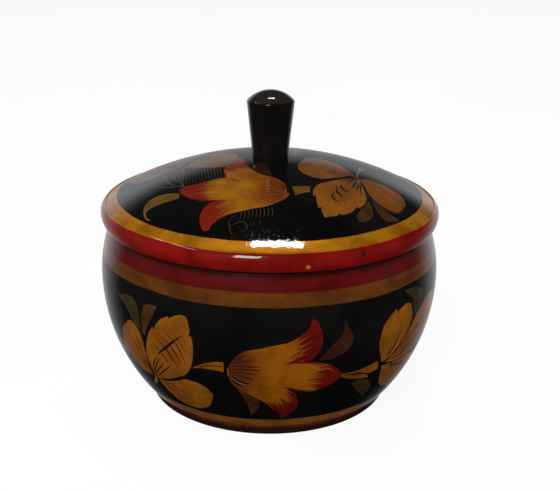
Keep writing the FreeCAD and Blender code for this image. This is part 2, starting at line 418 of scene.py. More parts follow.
    # Brown streaks at the base.
    motif.streaks([(-12.2, 20.4, -5.2, 19.0, 0.6), (-12.8, 21.6, -2.2, 21.2, 0.7),
                   (-13.0, 22.8, -1.4, 22.6, 0.8), (-13.0, 23.8, -3.0, 24.4, 0.7),
                   (-12.9, 24.7, -4.2, 26.6, 0.7), (-11.2, 18.9, -7.0, 17.3, 0.4),
                   (-10.4, 18.2, -6.0, 16.4, 0.35), (-12.0, 19.7, -7.6, 18.2, 0.4)], -0.3, 0.7, 0.05,
                  "maroon")
    add(stroke([(-12.2, 25.8), (-10.3, 27.2), (-8.3, 28.1), (-5.8, 28.0)], 0.8, 0.4, 0.1),
        "ground", (-12, 26), (-6, 28))
    add(stroke([(-12.2, 27.4), (-10.6, 28.7), (-8.6, 29.3)], 0.7, 0.4, 0.1), "ground", (-12, 27), (-9, 29))
    add(stroke([(-12.0, 26.7), (-9.6, 28.3), (-7.0, 29.0)], 0.35, 0.3, 0.1), "pale", (-12, 27), (-7, 29))
    add(stroke([(-13.7, 22.6), (-13.3, 24.0), (-13.5, 25.6)], 0.35, 0.3, 0.3), "pale", (-13, 23), (-13, 25))
    return motif.layers


def bowl_left_cluster():
    """Ovals, small leaves and a scalloped leaf, left of the lily."""
    motif = Motif(2.3, 41.0)
    add = motif.add
    root = (-46, 35)
    # Olive leaves, the left oval and the lower leaf.
    add(outline([(-47.3, 15.7), (-47.3, 11), (-47.8, 8.3), (-49, 6.3), (-51, 5.3), (-54.3, 5.3),
                 (-57.7, 6.2), (-61, 7.3), (-59.3, 7.7), (-56, 9), (-53.3, 11.3), (-51.7, 13.7),
                 (-48.7, 15.3)], (0, 7)),
        "olive", (-48, 15), (-54, 6))
    add(outline([(-46.3, 16.7), (-46.2, 11), (-45.3, 7.7), (-44.3, 6), (-42, 5.2), (-38.7, 5),
                 (-40, 7.7), (-41.3, 10), (-42.7, 12.3), (-44, 14.7), (-45.3, 17.3)], (0, 5, 10)),
        "tawny", (-46, 16), (-40, 5))
    add(outline([(-47.3, 35), (-47.5, 31), (-47.3, 26.3), (-47, 22.7), (-47.3, 19.7), (-48.3, 16.7),
                 (-49.7, 15.3), (-52, 14.3), (-54, 14.6), (-56, 16.3), (-58, 18), (-59.7, 20),
                 (-61, 22.7), (-61.7, 26.3), (-60.3, 30.3), (-56.7, 33.7), (-52.7, 35)], (0, 16)),
        "leaf", root, (-55, 17))
    motif.curves([((-47.4, 35), (-50.0, 27.5), (-54, 20), 0.5), ((-47.6, 35), (-51.6, 30.0), (-57, 25),
                                                                 0.5), ((-47.6, 35), (-48.6, 26.25),
                                                                        (-51, 17.5), 0.5)], 0.5, 0.0,
                 "dark")
    motif.lines([((-51.4, 24.4), (-49.6, 31.0)), ((-53.4, 27.5), (-50.6, 32.8)),
                 ((-52.6, 21.5), (-50.6, 26.5))], 0.4, 0.2, 0.6, "dark")
    add(outline([(-45.6, 35.3), (-42.0, 35.0), (-38.5, 34.4), (-34.6, 32.9), (-31, 31), (-28.3, 30.7),
                 (-25, 31.2), (-22.3, 32.7), (-20.7, 34.7), (-20.3, 36.3), (-21.3, 39), (-22, 40.7),
                 (-23.7, 43), (-26, 44.4), (-28.7, 45.7), (-32.7, 46), (-36.7, 45.3), (-39.3, 43.7),
                 (-42, 40.3), (-44, 37.3)], (0, 3, 10)),
        "leaf", root, (-24, 39))
    motif.veins((-45.4, 35.4), root, [(-31.5, 38.2), (-33.5, 41.5), (-36.8, 42.8)], -0.9, 0.45, 0.4, "dark")
    # The scalloped leaf, with its dark backing line.
    add(stroke([(-47.0, 9.0), (-46.8, 14), (-46.9, 20), (-46.9, 27), (-46.4, 35.4)], 0.5, 0.2, 0.5),
        "maroon", (-47, 10), root)
    scallops = [(-45.7, 35), (-46.5, 26.3), (-46, 23), (-45.2, 20.3), (-44.2, 18), (-43, 15.7),
                (-41.7, 13.7), (-40.8, 12.7), (-40.5, 14.2), (-39.7, 12), (-38.3, 10.3), (-36.7, 8.8),
                (-33.8, 7.2), (-33.9, 8.4), (-32.7, 7.3), (-30.7, 6.2), (-28.7, 5.7), (-27, 6.3),
                (-26.3, 8.3), (-26, 10.7), (-26.4, 12.8), (-25.5, 12.4), (-25.1, 15), (-25.2, 18.3),
                (-25.7, 21.3), (-26.7, 24.3), (-28.3, 27), (-30.3, 29), (-33.3, 30.7), (-36, 32.1),
                (-39.3, 33.6), (-44.3, 34.9)]
    motif.backed_leaf(scallops, (0, 7, 8, 12, 13, 20, 21), (0.55, 0.25), root, (-28, 8))
    add(stroke([(-40.7, 23.4), (-38.0, 21.0), (-35.0, 18.3), (-32.0, 15.6), (-29.1, 13.1)], 0.95, 0.25,
               0.05),
        "dark", root, (-31, 16))
    motif.curves([((-41.6, 19.1), (-38.3, 22.2), (-35.2, 26.2), 0.5),
                  ((-39.6, 16.6), (-35.7, 20.1), (-31.7, 26.9), 0.6),
                  ((-37.6, 15.2), (-33.5, 18.3), (-30.2, 24.2), 0.6),
                  ((-35.4, 13.6), (-31.3, 16.8), (-28.3, 24.2), 0.5),
                  ((-32.8, 13.1), (-30.2, 15.2), (-27.5, 20.1), 0.35)], 0.15, 0.1, "dark")
    motif.fan((-45.4, 34.8), root, [((-43.9, 30.2), (-39.2, 23.8)), ((-43.2, 31.4), (-37.6, 25.4)),
                                    ((-42.2, 32.4), (-35, 25.9)), ((-44.6, 29.4), (-41.2, 24.4))],
              0.55, 0.5, 0.0, "dark")
    # Pale whiskers below the root.
    motif.fan((-45.8, 34.6), root, [((-47.9, 37.6), (-50.4, 41.2)), ((-47.3, 37.6), (-49.2, 40.2)),
                                    ((-46.6, 37.6), (-47.8, 39.2))], 0.4, 0.4, 0.0, "pale")
    return motif.layers


def bowl_right_cluster():
    """Big leaves and a scalloped leaf, right of the lily."""
    motif = Motif(1.9, 87.0)
    add = motif.add
    root = (43.5, 26.5)
    add(outline([(50.2, 1.9), (52.4, 3.6), (54.6, 5.4), (55.6, 8.6), (57.1, 12.6), (59.2, 11.1),
                 (61.7, 7.9), (62.8, 5.1), (59.2, 3.3), (55.6, 2.2)], (0, 4, 7)),
        "olive", (57, 12), (51, 2))
    add(outline([(31, 32.2), (32.8, 34.7), (35.3, 37.6), (37.8, 39.7), (40.3, 42.8), (41.4, 39.4),
                 (41.2, 36.5), (39.9, 34), (37.8, 32.4), (34.6, 31.1)], (0, 4)),
        "olive", (31, 32), (40, 41))
    # Upper and lower big leaves.
    add(outline([(44.5, 27.2), (49.2, 23.6), (53.1, 19.7), (56.7, 15), (59.9, 11.9), (63.5, 10),
                 (68.9, 8.6), (73.5, 9.5), (76.4, 13), (76.6, 18), (74, 23), (69, 26.6), (61, 28.4),
                 (52, 28.6)], (0,)),
        "leaf", root, (68, 13))
    motif.veins(root, root, [(66, 14), (69, 19), (66, 23.5)], 1.2, 0.5, 0.5, "dark")
    add(outline([(43.4, 28.2), (44.6, 33.3), (46.4, 37.2), (48.9, 39.7), (52.8, 41.5), (58.1, 44),
                 (63.5, 46.2), (69.5, 46.4), (73.6, 43.5), (74.2, 38.5), (70.5, 33.2), (63, 30),
                 (53, 28.9)], (0,)),
        "leaf", root, (66, 41))
    motif.curves([((43.9, 27.6), (48.4, 28.4), (49.8, 32.4), 0.6),
                  ((45, 28.8), (53, 31.0), (62, 34.6), 0.45)], 0.5, 0.0, "dark")
    # The scalloped leaf in front of them.
    scallops = [(42.6, 26.4), (41.2, 23.2), (39.9, 20.3), (39.4, 17.2), (39.8, 14.0), (40.4, 11.8),
                (41.8, 10), (43.9, 8.3), (46.2, 7.1), (46.6, 8.7), (47.4, 8.0), (49.6, 7), (51.7, 6.7),
                (53.9, 7.4), (54.9, 9.4), (55.5, 11.5), (55.4, 14), (54.4, 16.5), (53.1, 18.6),
                (51, 21.1), (48.9, 23.3), (46, 25.3)]
    motif.backed_leaf(scallops, (0, 8, 9), (0.5, 0.35), root, (50, 9))
    add(stroke([(44.3, 25.4), (46.9, 22.4), (48.7, 19.2), (49.4, 15.4)], 0.55, 0.5, 0.0),
        "umber", root, (49, 16))
    motif.fan((44.2, 25.0), root, [((45.3, 22.8), (45.5, 19.8)), ((47.3, 21.0), (48.1, 18.6))],
              0.45, 0.4, 0.0, "dark")
    return motif.layers


# =============================================================================
# Motifs on the lid, seen from above. The front is towards -y.
# =============================================================================

def lid_lily():
    """The lily on the lid, with its hairs, tendrils and hooked leaf."""
    motif = Motif(1.3, 120.0)
    add = motif.add
    # Comb of pale hairs and two pale stems above the middle petal.
    for i in range(13):
        x = -16.4 - 1.08 * i
        top = -7.6 - 1.6 * abs(i - 5) / 6
        add(stroke([(x - 0.2, -19.0), (x - 0.3, -15), (x - 1.2, top)], 0.34, 0.5, 0.0),
            "hair", (x, -19), (x, top))
    motif.fan((-28.9, -20.5), (-29, -20), [((-31.9, -14.2), (-34.7, -6.7)),
                                           ((-34.2, -15.4), (-37.3, -5.3)),
                                           ((-30.9, -13.6), (-32.6, -6.0)),
                                           ((-35.2, -17.6), (-40.2, -13.4))], 0.42, 0.6, 0.1, "straw")
    # Hooked olive leaf beside the middle petal.
    add(outline([(-30.3, -24.7), (-32.3, -23.7), (-34.7, -22.7), (-37, -22.3), (-39.3, -22.8),
                 (-41, -24.3), (-41.8, -27), (-41.8, -30), (-41.3, -32.3), (-40.3, -35), (-38.3, -36.9),
                 (-40, -34.3), (-40.8, -31.7), (-40.3, -30), (-38.7, -29), (-36, -28.5), (-32.7, -28.2),
                 (-30, -28)], (0, 10, 17)),
        "lid_olive", (-30, -26), (-41, -28))
    # Tendrils and drops under the flower.
    add(stroke([(-10.6, -42.3), (-12.1, -43.7), (-12.9, -45.8), (-12.4, -48.1), (-12.1, -49.9),
                (-10.9, -51.9)], 0.4, 0.3, 0.2),
        "hair", (-11, -42), (-11, -52))
    add(stroke([(-12.4, -47.5), (-11.2, -46.6), (-9.2, -45.6), (-7.7, -46.4), (-7, -48.1), (-7.6, -49.6),
                (-9.0, -49.8)], 0.4, 0.3, 0.2),
        "hair", (-12, -47), (-7, -48))
    for i in range(9):
        x = -9.4 + 1.25 * i
        add(stroke([(x, -40.2 + 0.17 * i), (x + 0.35, -42.2), (x - 0.1, -44.6 + 0.1 * i)], 0.38, 0.6,
                   0.1),
            "hair", (x, -40), (x, -44))
    # Maroon sepal and its pale line.
    add(outline([(-4.7, -6), (-3, -5.5), (-1.7, -8), (-1, -11.3), (0, -14.7), (0.7, -20), (-3, -17.8),
                 (-5, -15.2), (-5.8, -13)], (0, 5)),
        "maroon", (0, -18), (-4, -6))
    add(stroke([(-5.1, -9.4), (-5.5, -11.5), (-5.6, -13.4)], 0.4, 0.2, 0.2), "pale", (-5, -9), (-6, -13))
    # Stub of the stem.
    add(outline([(7.3, -26.7), (9, -26.2), (13.3, -25.4), (13.2, -29), (10.7, -30.3), (8.3, -32.2),
                 (7.8, -29.3)], (0, 2, 3, 5)),
        "gold", (7, -28), (13, -27))
    # Petals: upper, lower, middle.
    add(outline([(5.3, -27), (4.7, -24.7), (3, -22.3), (1, -20.7), (-1, -19.7), (-3, -18.3), (-5, -16),
                 (-6.3, -14), (-7.3, -11.3), (-8.5, -8), (-9.2, -4), (-9.3, -0.6), (-9.8, 0.8),
                 (-11.7, -1.3), (-13.3, -4), (-14.7, -7), (-15.5, -10), (-15.8, -13), (-15.5, -16),
                 (-14.8, -18.7), (-14, -20.6), (-6, -27)], (0, 12, 20)),
        "lid_petal", (3, -26), (-11, -3),
        [(-16.5, -15.8), (-13.5, -13.6), (-11, -12.4), (-8.6, -11.0), (-7, -10.6)])
    add(outline([(-14.6, -34), (-17.6, -34.1), (-19.7, -34.9), (-21.3, -37), (-22.2, -39.7),
                 (-22.3, -42.7), (-21.8, -45.3), (-20.7, -48), (-19.3, -47.7), (-18.3, -45.7),
                 (-16.3, -43.8), (-14.3, -42.4), (-11.7, -41.3), (-9, -40.7), (-5.3, -39.7), (-2, -39),
                 (0.7, -37.7), (3, -36), (5, -34.4), (6.0, -32.6), (5.7, -30.7), (-4, -29)], (0, 7, 19)),
        "lid_petal", (4, -32), (-21, -44),
        [(-14.2, -33.2), (-15.6, -35.4), (-15.9, -38.4), (-13.6, -41.6)])
    add(outline([(5.5, -28.2), (0, -24.6), (-6, -21.8), (-11.7, -20.2), (-14.6, -19.7), (-17, -19.3),
                 (-19.7, -19.7), (-23, -20.3), (-26.3, -20.7), (-28.7, -21), (-30.4, -22.2),
                 (-30, -24.4), (-28.7, -26.7), (-26.7, -29), (-24.3, -31), (-21.7, -32.6),
                 (-18.7, -33.6), (-15, -34), (-8, -34), (0, -33), (5.6, -31)], (0, 10, 20)),
        "lid_petal", (5, -30), (-29, -24),
        [(-20, -18), (-21.6, -22), (-22.4, -26), (-21, -30), (-19, -35)])
    # Red lines along the petals' edges, and hairs into the red.
    add(stroke([(-13.8, -20.5), (-11.7, -22.1), (-9.8, -22.8)], 0.6, 0.7, 0.0),
        "red", (-14, -20), (-10, -23))
    add(stroke([(-29, -21.6), (-24, -20.9), (-19.5, -20.2), (-15.5, -20.2)], 0.7, 0.5, 0.1),
        "red", (-29, -21), (-15, -20))
    add(stroke([(-27.5, -28.3), (-23.5, -31.5), (-19, -33.4), (-14.8, -33.9)], 0.8, 0.5, 0.2),
        "red", (-27, -28), (-15, -34))
    add(stroke([(-15.4, -19.6), (-15.2, -16.5), (-15.2, -13.5)], 0.6, 0.4, 0.2),
        "red", (-15, -20), (-15, -13))
    motif.lines([((-13.6, -14.6), (-14.0, -10.8)), ((-12.4, -13.6), (-12.8, -9.8)),
                 ((-11.2, -12.8), (-11.6, -8.6)), ((-9.8, -12.0), (-10.4, -7.8)),
                 ((-15, -36), (-18.2, -37.4)), ((-15.2, -38), (-18.4, -40.2)),
                 ((-14.8, -39.8), (-17.6, -42.2))], 0.55, 0.9, 0.0, "gold")
    # Brown streaks and smudges at the base.
    motif.streaks([(4.9, -28.6, 1.2, -23.6, 0.7), (5.2, -27.6, 3.0, -23.9, 0.6),
                   (4.6, -29.4, -1.2, -24.4, 0.7), (4.6, -30.2, -2.0, -27.2, 0.6),
                   (5.0, -31.8, -1.6, -31.2, 0.6), (4.6, -32.8, -0.8, -34.2, 0.55),
                   (4.0, -33.8, 0.4, -36.2, 0.45), (3.4, -30.9, -4.4, -29.6, 0.5)], 0.3, 0.8, 0.0, "umber")
    return motif.layers


def lid_cluster():
    """Ovals and a scalloped leaf, right of the lily."""
    motif = Motif(2.1, 173.0)
    add = motif.add
    root = (30.4, -10)
    # Pale stems behind the root.
    motif.fan((30, -10.5), root, [((30.8, -5.5), end) for end in ((32.2, 3.6), (33.5, 4.4), (34.6, 3.4))],
              0.5, 0.6, 0.0, "pale")
    # Small olive leaves.
    add(outline([(32.3, -26.8), (31.4, -29.6), (30.4, -32), (29.1, -35), (28, -38.3), (28.5, -40.8),
                 (30.7, -39.7), (32.7, -37.3), (33.7, -34.7), (33.7, -31.7), (33.1, -28.3)], (0, 5)),
        "tawny", (32, -27), (29, -39))
    add(outline([(34, -25.6), (34.4, -28.4), (34.8, -31), (36, -34), (38, -36), (40.3, -34.7),
                 (42.6, -32.8), (40, -31.3), (37.7, -29.3), (35.3, -26.8)], (0, 4, 6)),
        "tawny", (34, -26), (40, -34))
    # Two ovals.
    add(outline([(30.2, -10.2), (28.4, -8.4), (27.3, -6.3), (25.3, -3.3), (22.7, -0.3), (20, 2.2),
                 (16.7, 2.7), (13.3, 1), (11.7, -1.7), (10.7, -4.7), (9.8, -8), (9.5, -10), (10, -13.3),
                 (11.3, -16), (13.7, -18), (16.3, -18.7), (19.3, -17.7), (22, -16), (24.7, -14),
                 (27, -11.6)], (0,)),
        "leaf", root, (14, -9))
    motif.veins((29.6, -10.2), root, [(20, -5.5), (19, -10.5), (21, -14)], 0.8, 0.45, 0.5, "umber")
    add(outline([(31, -11.4), (31.5, -14.5), (32, -17.3), (33, -21.3), (34, -24), (35.7, -26.7),
                 (38, -28.3), (40.3, -29.3), (42.3, -29), (44, -27.3), (44.7, -25), (45.3, -22.7),
                 (46, -20), (45.8, -17), (45, -14.7), (43, -12.7), (40, -11), (36, -10.3),
                 (33.4, -10.4)], (0,)),
        "leaf", root, (42, -25))
    add(stroke([(44.6, -19.6), (45.0, -22.2), (44.6, -25.4), (42.8, -28.2), (40.4, -28.8),
                (37.6, -27.6)], 0.6, 0.3, 0.2),
        "dark", (45, -20), (40, -29))
    motif.fan((31.6, -11.4), root, [((34.5, -15.5), (38.5, -21.5)), ((35.4, -13.6), (41.0, -18.0))],
              0.45, 0.5, 0.0, "umber")
    # The scalloped leaf between them, with the dark gap at its right.
    add(stroke([(31, -12.5), (32.3, -20), (33.3, -25.7), (34.2, -31)], 0.9, 0.4, 0.3),
        "dark", root, (34, -31))
    scallops = [(30.5, -9.8), (28.8, -12.2), (27.2, -13.9), (25, -15.4), (22.3, -17.6), (20, -19.7),
                (17.3, -22), (15.7, -24), (14.7, -26), (14.2, -28.7), (14.2, -31.2), (15.1, -30.3),
                (15.1, -32.4), (15.3, -35), (15.6, -37.6), (16.7, -36.9), (16.7, -39), (17.5, -42),
                (19.3, -41), (21.8, -39.9), (22, -38.9), (24, -38.7), (26, -37), (27.4, -35),
                (28.5, -32.5), (28.9, -33.5), (30.3, -31.7), (31.3, -29.7), (32, -27), (32.2, -24),
                (31.8, -20.7), (31.3, -17.3), (30.9, -13.5)]
    motif.backed_leaf(scallops, (0, 10, 11, 14, 15, 17, 19, 20, 24, 25), (0.5, -0.45), root, (20, -38))
    # Curled cuts in the leaf, short ticks between them, and strokes out of the root.
    curls = (((24.0, -20.4), (23.9, -22.6), (25.4, -24.5), (27.0, -24.6)),
             ((22.4, -23.6), (22.4, -26.2), (23.6, -28.2), (25.4, -28.4)),
             ((21.2, -27.2), (20.5, -29.4), (21.4, -31.6), (23.2, -32.5)))
    for curl in curls:
        add(stroke(list(curl), 0.8, 0.3, 0.1), "dark", curl[0], curl[-1])
    motif.lines([((25.4, -24.5), (24.8, -26.4)), ((23.6, -28.2), (22.8, -30.2)),
                 ((26.4, -21.2), (28.0, -22.6)), ((25.2, -26.6), (27.2, -27.6)),
                 ((23.6, -30.6), (25.4, -31.4)), ((22.2, -21.8), (22.6, -24))], 0.45, 0.8, 0.0, "dark")
    motif.fan((30.4, -10.6), root, [((29.3, -15.5), (27.3, -22.3)), ((30.1, -16.5), (29, -24)),
                                    ((28.2, -14.8), (25.7, -19.6)), ((30.6, -17.5), (30.4, -25.5)),
                                    ((27.4, -14.6), (23.6, -18.6))], 0.55, 0.5, 0.0, "dark")
    motif.fan((30.4, -10.8), root, [((29.9, -15.5), (28.2, -21.5)), ((30.3, -16.4), (29.8, -22.0))],
              0.4, 0.4, 0.0, "pale")
    return motif.layers


# =============================================================================
# Triangulating a painted field
# =============================================================================

def field_mesh(layers, edges, steiner, inside):
    """Triangulate edges (closed lines of the field) with all layers drawn on it.

    Returns the flat points, and for every triangle kept its corners and its topmost layer.
    """
    points, faces, owners = [], [], []

    def add_face(shape, owner):
        """Add one closed line, turned anticlockwise as the triangulation needs."""
        area = sum(a[0] * b[1] - b[0] * a[1] for a, b in zip(shape, shape[1:] + shape[:1]))
        first = len(points)
        points.extend(Vector(p) for p in (shape if area > 0 else shape[::-1]))
        faces.append(list(range(first, len(points))))
        owners.append(owner)

    for edge in edges:
        add_face(edge, "edge")
    for layer in layers:
        add_face(layer.shape, layer)
    points.extend(Vector(p) for p in steiner)
    out = geometry.delaunay_2d_cdt(points, [], faces, 1, 1e-4, True)
    flat, triangles, sources = out[0], out[2], out[5]
    kept = []
    for corners, source in zip(triangles, sources):
        if not inside(source):
            continue
        top = max(source)
        kept.append((tuple(corners), owners[top] if top >= len(edges) else None))
    return [tuple(p) for p in flat], kept


def jittered_grid(x0, x1, y0, y1, keep, seed):
    """Points about GRID apart, each moved a little, where keep says so."""
    rng = random.Random(seed)
    result = []
    rows = int((y1 - y0) / GRID)
    columns = int((x1 - x0) / GRID)
    for j in range(1, rows):
        for i in range(columns + 1):
            x = x0 + (i + 0.5 * (j % 2) + rng.uniform(-0.18, 0.18)) * GRID
            y = y0 + (j + rng.uniform(-0.18, 0.18)) * GRID
            if keep(x, y):
                result.append((x, y))
    return result


# =============================================================================
# Building a turned piece
# =============================================================================

class Turned:
    """Collects the vertices, faces, normals and paint attributes of one turned piece."""

    def __init__(self):
        self.places, self.faces, self.normals = [], [], []
        self.paints, self.brushes, self.tips = [], [], []
        self.length = 0.0

    def vertex(self, place):
        self.places.append(place)
        return len(self.places) - 1

    def ring(self, r, z, angle=0.0, sway=0.0):
        """A circle of vertices, swaying along the surface as a hand-painted edge does.

        A ring on the axis is one shared vertex.
        """
        if r < 1e-6:
            return [self.vertex(Vector((0, 0, z * MM)))] * COLUMNS
        result = []
        for i in range(COLUMNS):
            turn = 2 * math.pi * i / COLUMNS - math.pi
            slow = noise.noise(Vector((2.4 * math.cos(turn), 2.4 * math.sin(turn), z)))
            quick = noise.noise(Vector((9.0 * math.cos(turn), 9.0 * math.sin(turn), z)))
            slide = sway * (slow + 0.5 * quick)
            radius = r - slide * math.sin(angle)
            height = z + slide * math.cos(angle)
            result.append(self.vertex(Vector((radius * math.sin(turn), -radius * math.cos(turn),
                                              height)) * MM))
        return result

    def face(self, corners, normals, paint, brushes, tips):
        self.faces.append(tuple(corners))
        self.normals += normals
        self.paints.append(paint)
        self.brushes += brushes
        self.tips += tips

    def strip(self, run, paint, first=None, sway=(0.0, 0.0)):
        """Rings along a run of (r, z, normal angle), joined by quads. Returns the two end rings.

        sway says how much the first and the last ring wander.
        """
        low = first or self.ring(*run[0], sway[0])
        start = low
        for (r0, z0, a0), (r1, z1, a1) in zip(run, run[1:]):
            final = (r1, z1, a1) == run[-1]
            high = self.ring(r1, z1, a1, sway[1] if final else 0.0)
            step = math.hypot(r1 - r0, z1 - z0)
            for i in range(COLUMNS):
                j = (i + 1) % COLUMNS
                t0 = 2 * math.pi * i / COLUMNS - math.pi
                t1 = 2 * math.pi * (i + 1) / COLUMNS - math.pi
                corners, normals, brushes = [], [], []
                for index, turn, angle, done in ((low[i], t0, a0, 0.0), (low[j], t1, a0, 0.0),
                                                 (high[j], t1, a1, step), (high[i], t0, a1, step)):
                    if index in corners:
                        continue
                    corners.append(index)
                    normals.append(Vector((math.sin(turn) * math.cos(angle),
                                           -math.cos(turn) * math.cos(angle), math.sin(angle))))
                    brushes.append((turn * BELLY_RADIUS, self.length + done, 0.0))
                self.face(corners, normals, paint, brushes, [0.0] * len(corners))
            self.length += step
            low = high
        return start, low

    def strips(self, runs, paint, first=None):
        """Join several runs of one paint, each starting at the last ring of the one before."""
        for run in runs:
            _, first = self.strip(run, paint, first)
        return first

    def mesh(self, name, materials):
        """Make the Blender object, with faces turned to agree with the given normals."""
        names = sorted(set(self.paints))
        faces, normals, brushes, tips = [], [], [], []
        cursor = 0
        for corners in self.faces:
            count = len(corners)
            local = list(range(cursor, cursor + count))
            cursor += count
            a, b, c = (self.places[corners[k]] for k in (0, 1, count - 1))
            facing = (b - a).cross(c - a)
            wanted = self.normals[local[0]] + self.normals[local[1]] + self.normals[local[-1]]
            if facing.dot(wanted) < 0:
                corners = corners[::-1]
                local = local[::-1]
            faces.append(corners)
            normals += [self.normals[k] for k in local]
            brushes += [self.brushes[k] for k in local]
            tips += [self.tips[k] for k in local]
        data = bpy.data.meshes.new(name)
        data.from_pydata([tuple(p) for p in self.places], [], faces)
        for paint in names:
            data.materials.append(materials[paint])
        data.polygons.foreach_set("material_index", [names.index(p) for p in self.paints])
        data.polygons.foreach_set("use_smooth", [True] * len(faces))
        brush = data.attributes.new("brush", "FLOAT_VECTOR", "CORNER")
        brush.data.foreach_set("vector", [c for b in brushes for c in b])
        tip = data.attributes.new("tip", "FLOAT", "CORNER")
        tip.data.foreach_set("value", tips)
        data.normals_split_custom_set([tuple(n) for n in normals])
        piece = bpy.data.objects.new(name, data)
        bpy.context.scene.collection.objects.link(piece)
        return piece


def add_field(turned, flat, kept, lay, rings, ground):
    """Lay a triangulated field on the piece. rings maps a flat point to a vertex that exists."""
    index, normal = {}, {}
    for corners, _ in kept:
        for k in corners:
            if k in index:
                continue
            place, facing = lay(*flat[k])
            normal[k] = facing
            shared = rings(flat[k])
            index[k] = turned.vertex(place) if shared is None else shared
    for corners, layer in kept:
        ids = [index[k] for k in corners]
        if len(set(ids)) < 3:
            continue
        spots = [flat[k] for k in corners]
        if layer is None:
            brushes = [(x, y, 0.0) for x, y in spots]
            tips = [0.0] * 3
        else:
            brushes = [layer.brush(p) for p in spots]
            tips = [layer.beyond_tip(p) for p in spots]
        turned.face(ids, [normal[k] for k in corners], layer.paint if layer else ground, brushes, tips)


# =============================================================================
# The three pieces
# =============================================================================

def bowl_layers():
    """All shapes on the bowl: two lilies and two clusters, twice round."""
    motifs = [[layer.changed(shifted(0.0, -MOTIF_RISE), 0.0) for layer in motif]
              for motif in (bowl_lily(), bowl_left_cluster(), bowl_right_cluster())]
    second_lily = [layer.changed(shifted(SECOND_LILY), 9.0) for layer in motifs[0]]
    second_lily = [layer.changed(wander(1.1, 4.0), 0.0) for layer in second_lily]
    placed = []
    for motif in [second_lily] + motifs:
        placed += [layer.changed(wander(0.9, 11.0), 31.0).changed(shifted(-REPEAT), 0.0) for layer in motif]
        placed += motif
    # The seam lies at the back. A shape that crosses it is drawn on both sides.
    result = []
    for layer in placed:
        low = min(x for x, _ in layer.shape)
        high = max(x for x, _ in layer.shape)
        for offset in (-GIRTH, 0.0, GIRTH):
            if low + offset < 0.5 * GIRTH and high + offset > -0.5 * GIRTH:
                result.append(layer if not offset else layer.changed(shifted(offset), 0.0))
    return result


def bowl_hollow():
    """Runs of the bowl's inside, from the floor's middle up to the top of the mouth."""
    # Floor, blend and the wall's lower arc.
    wall_centre = INNER_RADIUS - INNER_LOWER_ARC
    blend_height = FLOOR_HEIGHT + FLOOR_BLEND
    reach = INNER_LOWER_ARC - FLOOR_BLEND
    blend_radius = wall_centre + math.sqrt(reach ** 2 - (BELLY_HEIGHT - blend_height) ** 2)
    meeting = math.atan2(blend_height - BELLY_HEIGHT, blend_radius - wall_centre)
    floor = straight((0.0, FLOOR_HEIGHT), (blend_radius, FLOOR_HEIGHT), 10, UP)
    wall = flipped(arc_points((blend_radius, blend_height), FLOOR_BLEND, DOWN, meeting, 10))
    wall += flipped(arc_points((wall_centre, BELLY_HEIGHT), INNER_LOWER_ARC, meeting, 0.0, 14))[1:]
    # The upper arc, through the widest circle and the foot of the straight mouth.
    mouth_low = SEAT_HEIGHT - MOUTH_DEPTH
    drop = mouth_low - BELLY_HEIGHT
    gap = INNER_RADIUS - MOUTH_RADIUS
    bulge_arc = (drop ** 2 + gap ** 2) / (2 * gap)
    bulge_angle = math.asin(drop / bulge_arc)
    bulge = flipped(arc_points((INNER_RADIUS - bulge_arc, BELLY_HEIGHT), bulge_arc, 0.0, bulge_angle, 8))
    mouth = straight((MOUTH_RADIUS, mouth_low), (MOUTH_RADIUS, SEAT_HEIGHT), 4, math.pi)
    return [floor, wall, bulge, mouth]


def bowl_foot():
    """Runs below the painted field: the gold band, the red foot, and the underside to its middle."""
    foot_low = FOOT_RADIUS - FOOT_ROUND
    field_end = bowl_wall(FIELD_DEPTH)
    cove_angle = math.asin((COVE_TOP - BELLY_HEIGHT) / LOWER_ARC)
    foot_gold = arc_points(LOWER_CENTRE, LOWER_ARC, field_end[2], cove_angle, 5)
    cove_start = foot_gold[-1]
    bow_radius = FOOT_RADIUS + COVE_BOW_OUT * (cove_start[0] - FOOT_RADIUS)
    bow_height = FOOT_HEIGHT + COVE_BOW_UP * (COVE_TOP - FOOT_HEIGHT)
    cove = [cove_start, (bow_radius, bow_height, COVE_LEAN), (FOOT_RADIUS, FOOT_HEIGHT, COVE_END_LEAN)]
    wall = straight((FOOT_RADIUS, FOOT_HEIGHT), (FOOT_RADIUS, FOOT_ROUND), 3, 0.0)
    toe = arc_points((foot_low, FOOT_ROUND), FOOT_ROUND, 0.0, DOWN, 5)
    ring_face = straight((foot_low, 0.0), (RECESS_RADIUS, 0.0), 4, DOWN)
    step_wall = straight((RECESS_RADIUS, 0.0), (RECESS_RADIUS, RECESS_DEPTH), 2, math.pi)
    recess = straight((RECESS_RADIUS, RECESS_DEPTH), (0.0, RECESS_DEPTH), 8, DOWN)
    return foot_gold, [cove, wall, toe], [ring_face, step_wall, recess]


